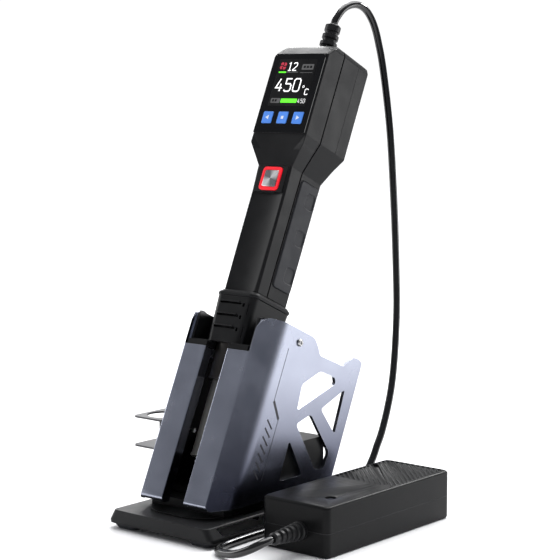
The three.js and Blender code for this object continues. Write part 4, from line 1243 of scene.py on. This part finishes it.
def make_floor():
    look = make_look("floor", (0.93, 0.93, 0.94), 0.7, grain=300, bump=0.01, shade=0.005)
    bm = bmesh.new()
    bmesh.ops.create_grid(bm, x_segments=2, y_segments=2, size=30)
    mesh = bpy.data.meshes.new("floor")
    bm.to_mesh(mesh)
    bm.free()
    mesh.materials.append(look)
    floor = bpy.data.objects.new("floor", mesh)
    scene.collection.objects.link(floor)


def make_light(name, place, target, size, power):
    lamp = bpy.data.lights.new(name, "AREA")
    lamp.shape = "RECTANGLE"
    lamp.size, lamp.size_y = size
    lamp.energy = power
    obj = bpy.data.objects.new(name, lamp)
    obj.location = place
    obj.rotation_euler = (Vector(target) - Vector(place)).to_track_quat("-Z", "Y").to_euler()
    scene.collection.objects.link(obj)


def make_sun(name, towards, strength, spread):
    lamp = bpy.data.lights.new(name, "SUN")
    lamp.energy = strength
    lamp.angle = math.radians(spread)
    obj = bpy.data.objects.new(name, lamp)
    obj.rotation_euler = Vector(towards).to_track_quat("Z", "Y").to_euler()
    scene.collection.objects.link(obj)


def make_world():
    """A white horizon under a dimmer ceiling, with a dark curtain on the right."""
    world = bpy.data.worlds.new("studio")
    scene.world = world
    world.use_nodes = True
    tree = world.node_tree
    direction = node(tree, "ShaderNodeTexCoord")
    height = ranged(tree, components(tree, direction.outputs["Generated"])["Z"], 0, 1, 0.05, 0.17)
    sky = mixed(tree, height, (1.05, 1.05, 1.05), (0.27, 0.275, 0.29))
    facing = node(tree, "ShaderNodeVectorMath", operation="DOT_PRODUCT")
    facing.inputs[1].default_value = (0.98, 0.17, 0.1)
    tree.links.new(direction.outputs["Generated"], facing.inputs[0])
    curtain = ranged(tree, facing.outputs["Value"], 0, 1, 0.9, 0.95)
    tree.links.new(
        mixed(tree, curtain, sky, (0.14, 0.145, 0.16)), tree.nodes["Background"].inputs["Color"])


def make_studio():
    middle = (0, 0, 0.15)
    make_world()
    make_sun("ceiling", (-0.05, 0.35, 0.9), 3.4, 60)
    make_light("back", (0.25, 1.6, 1.25), middle, (0.5, 0.3), 16)
    make_light("side", (1.25, 1.45, 0.3), middle, (0.5, 0.35), 3.5)
    make_light("rim", (-1.15, 1.05, 0.95), middle, (0.5, 0.4), 8)
    make_light("left", (-1.5, -0.35, 0.8), (0, 0, 0.2), (0.5, 1.0), 7)
    scene.view_settings.view_transform = "Standard"


# ---------------------------------------------------------------- everything

make_base()
make_feet()
make_core()
make_side_plate("plate_left", -1, "side_plate_left")
make_side_plate("plate_right", 1, "side_plate_right")
make_liner("liner_left", -1)
make_liner("liner_right", 1)
make_plate_markings()
make_stand_screws()
make_rack()
make_cradle()
make_adapter_cases()
make_led_lens()
make_inlet()
make_boots()
make_front_shell()
make_rear_shell()
make_grips()
make_lens()
make_display()
make_module()
make_keys()
make_power_button()
make_collar()
make_collar_ring()
make_tubes()
dress_kept_nodes()
make_floor()
make_studio()
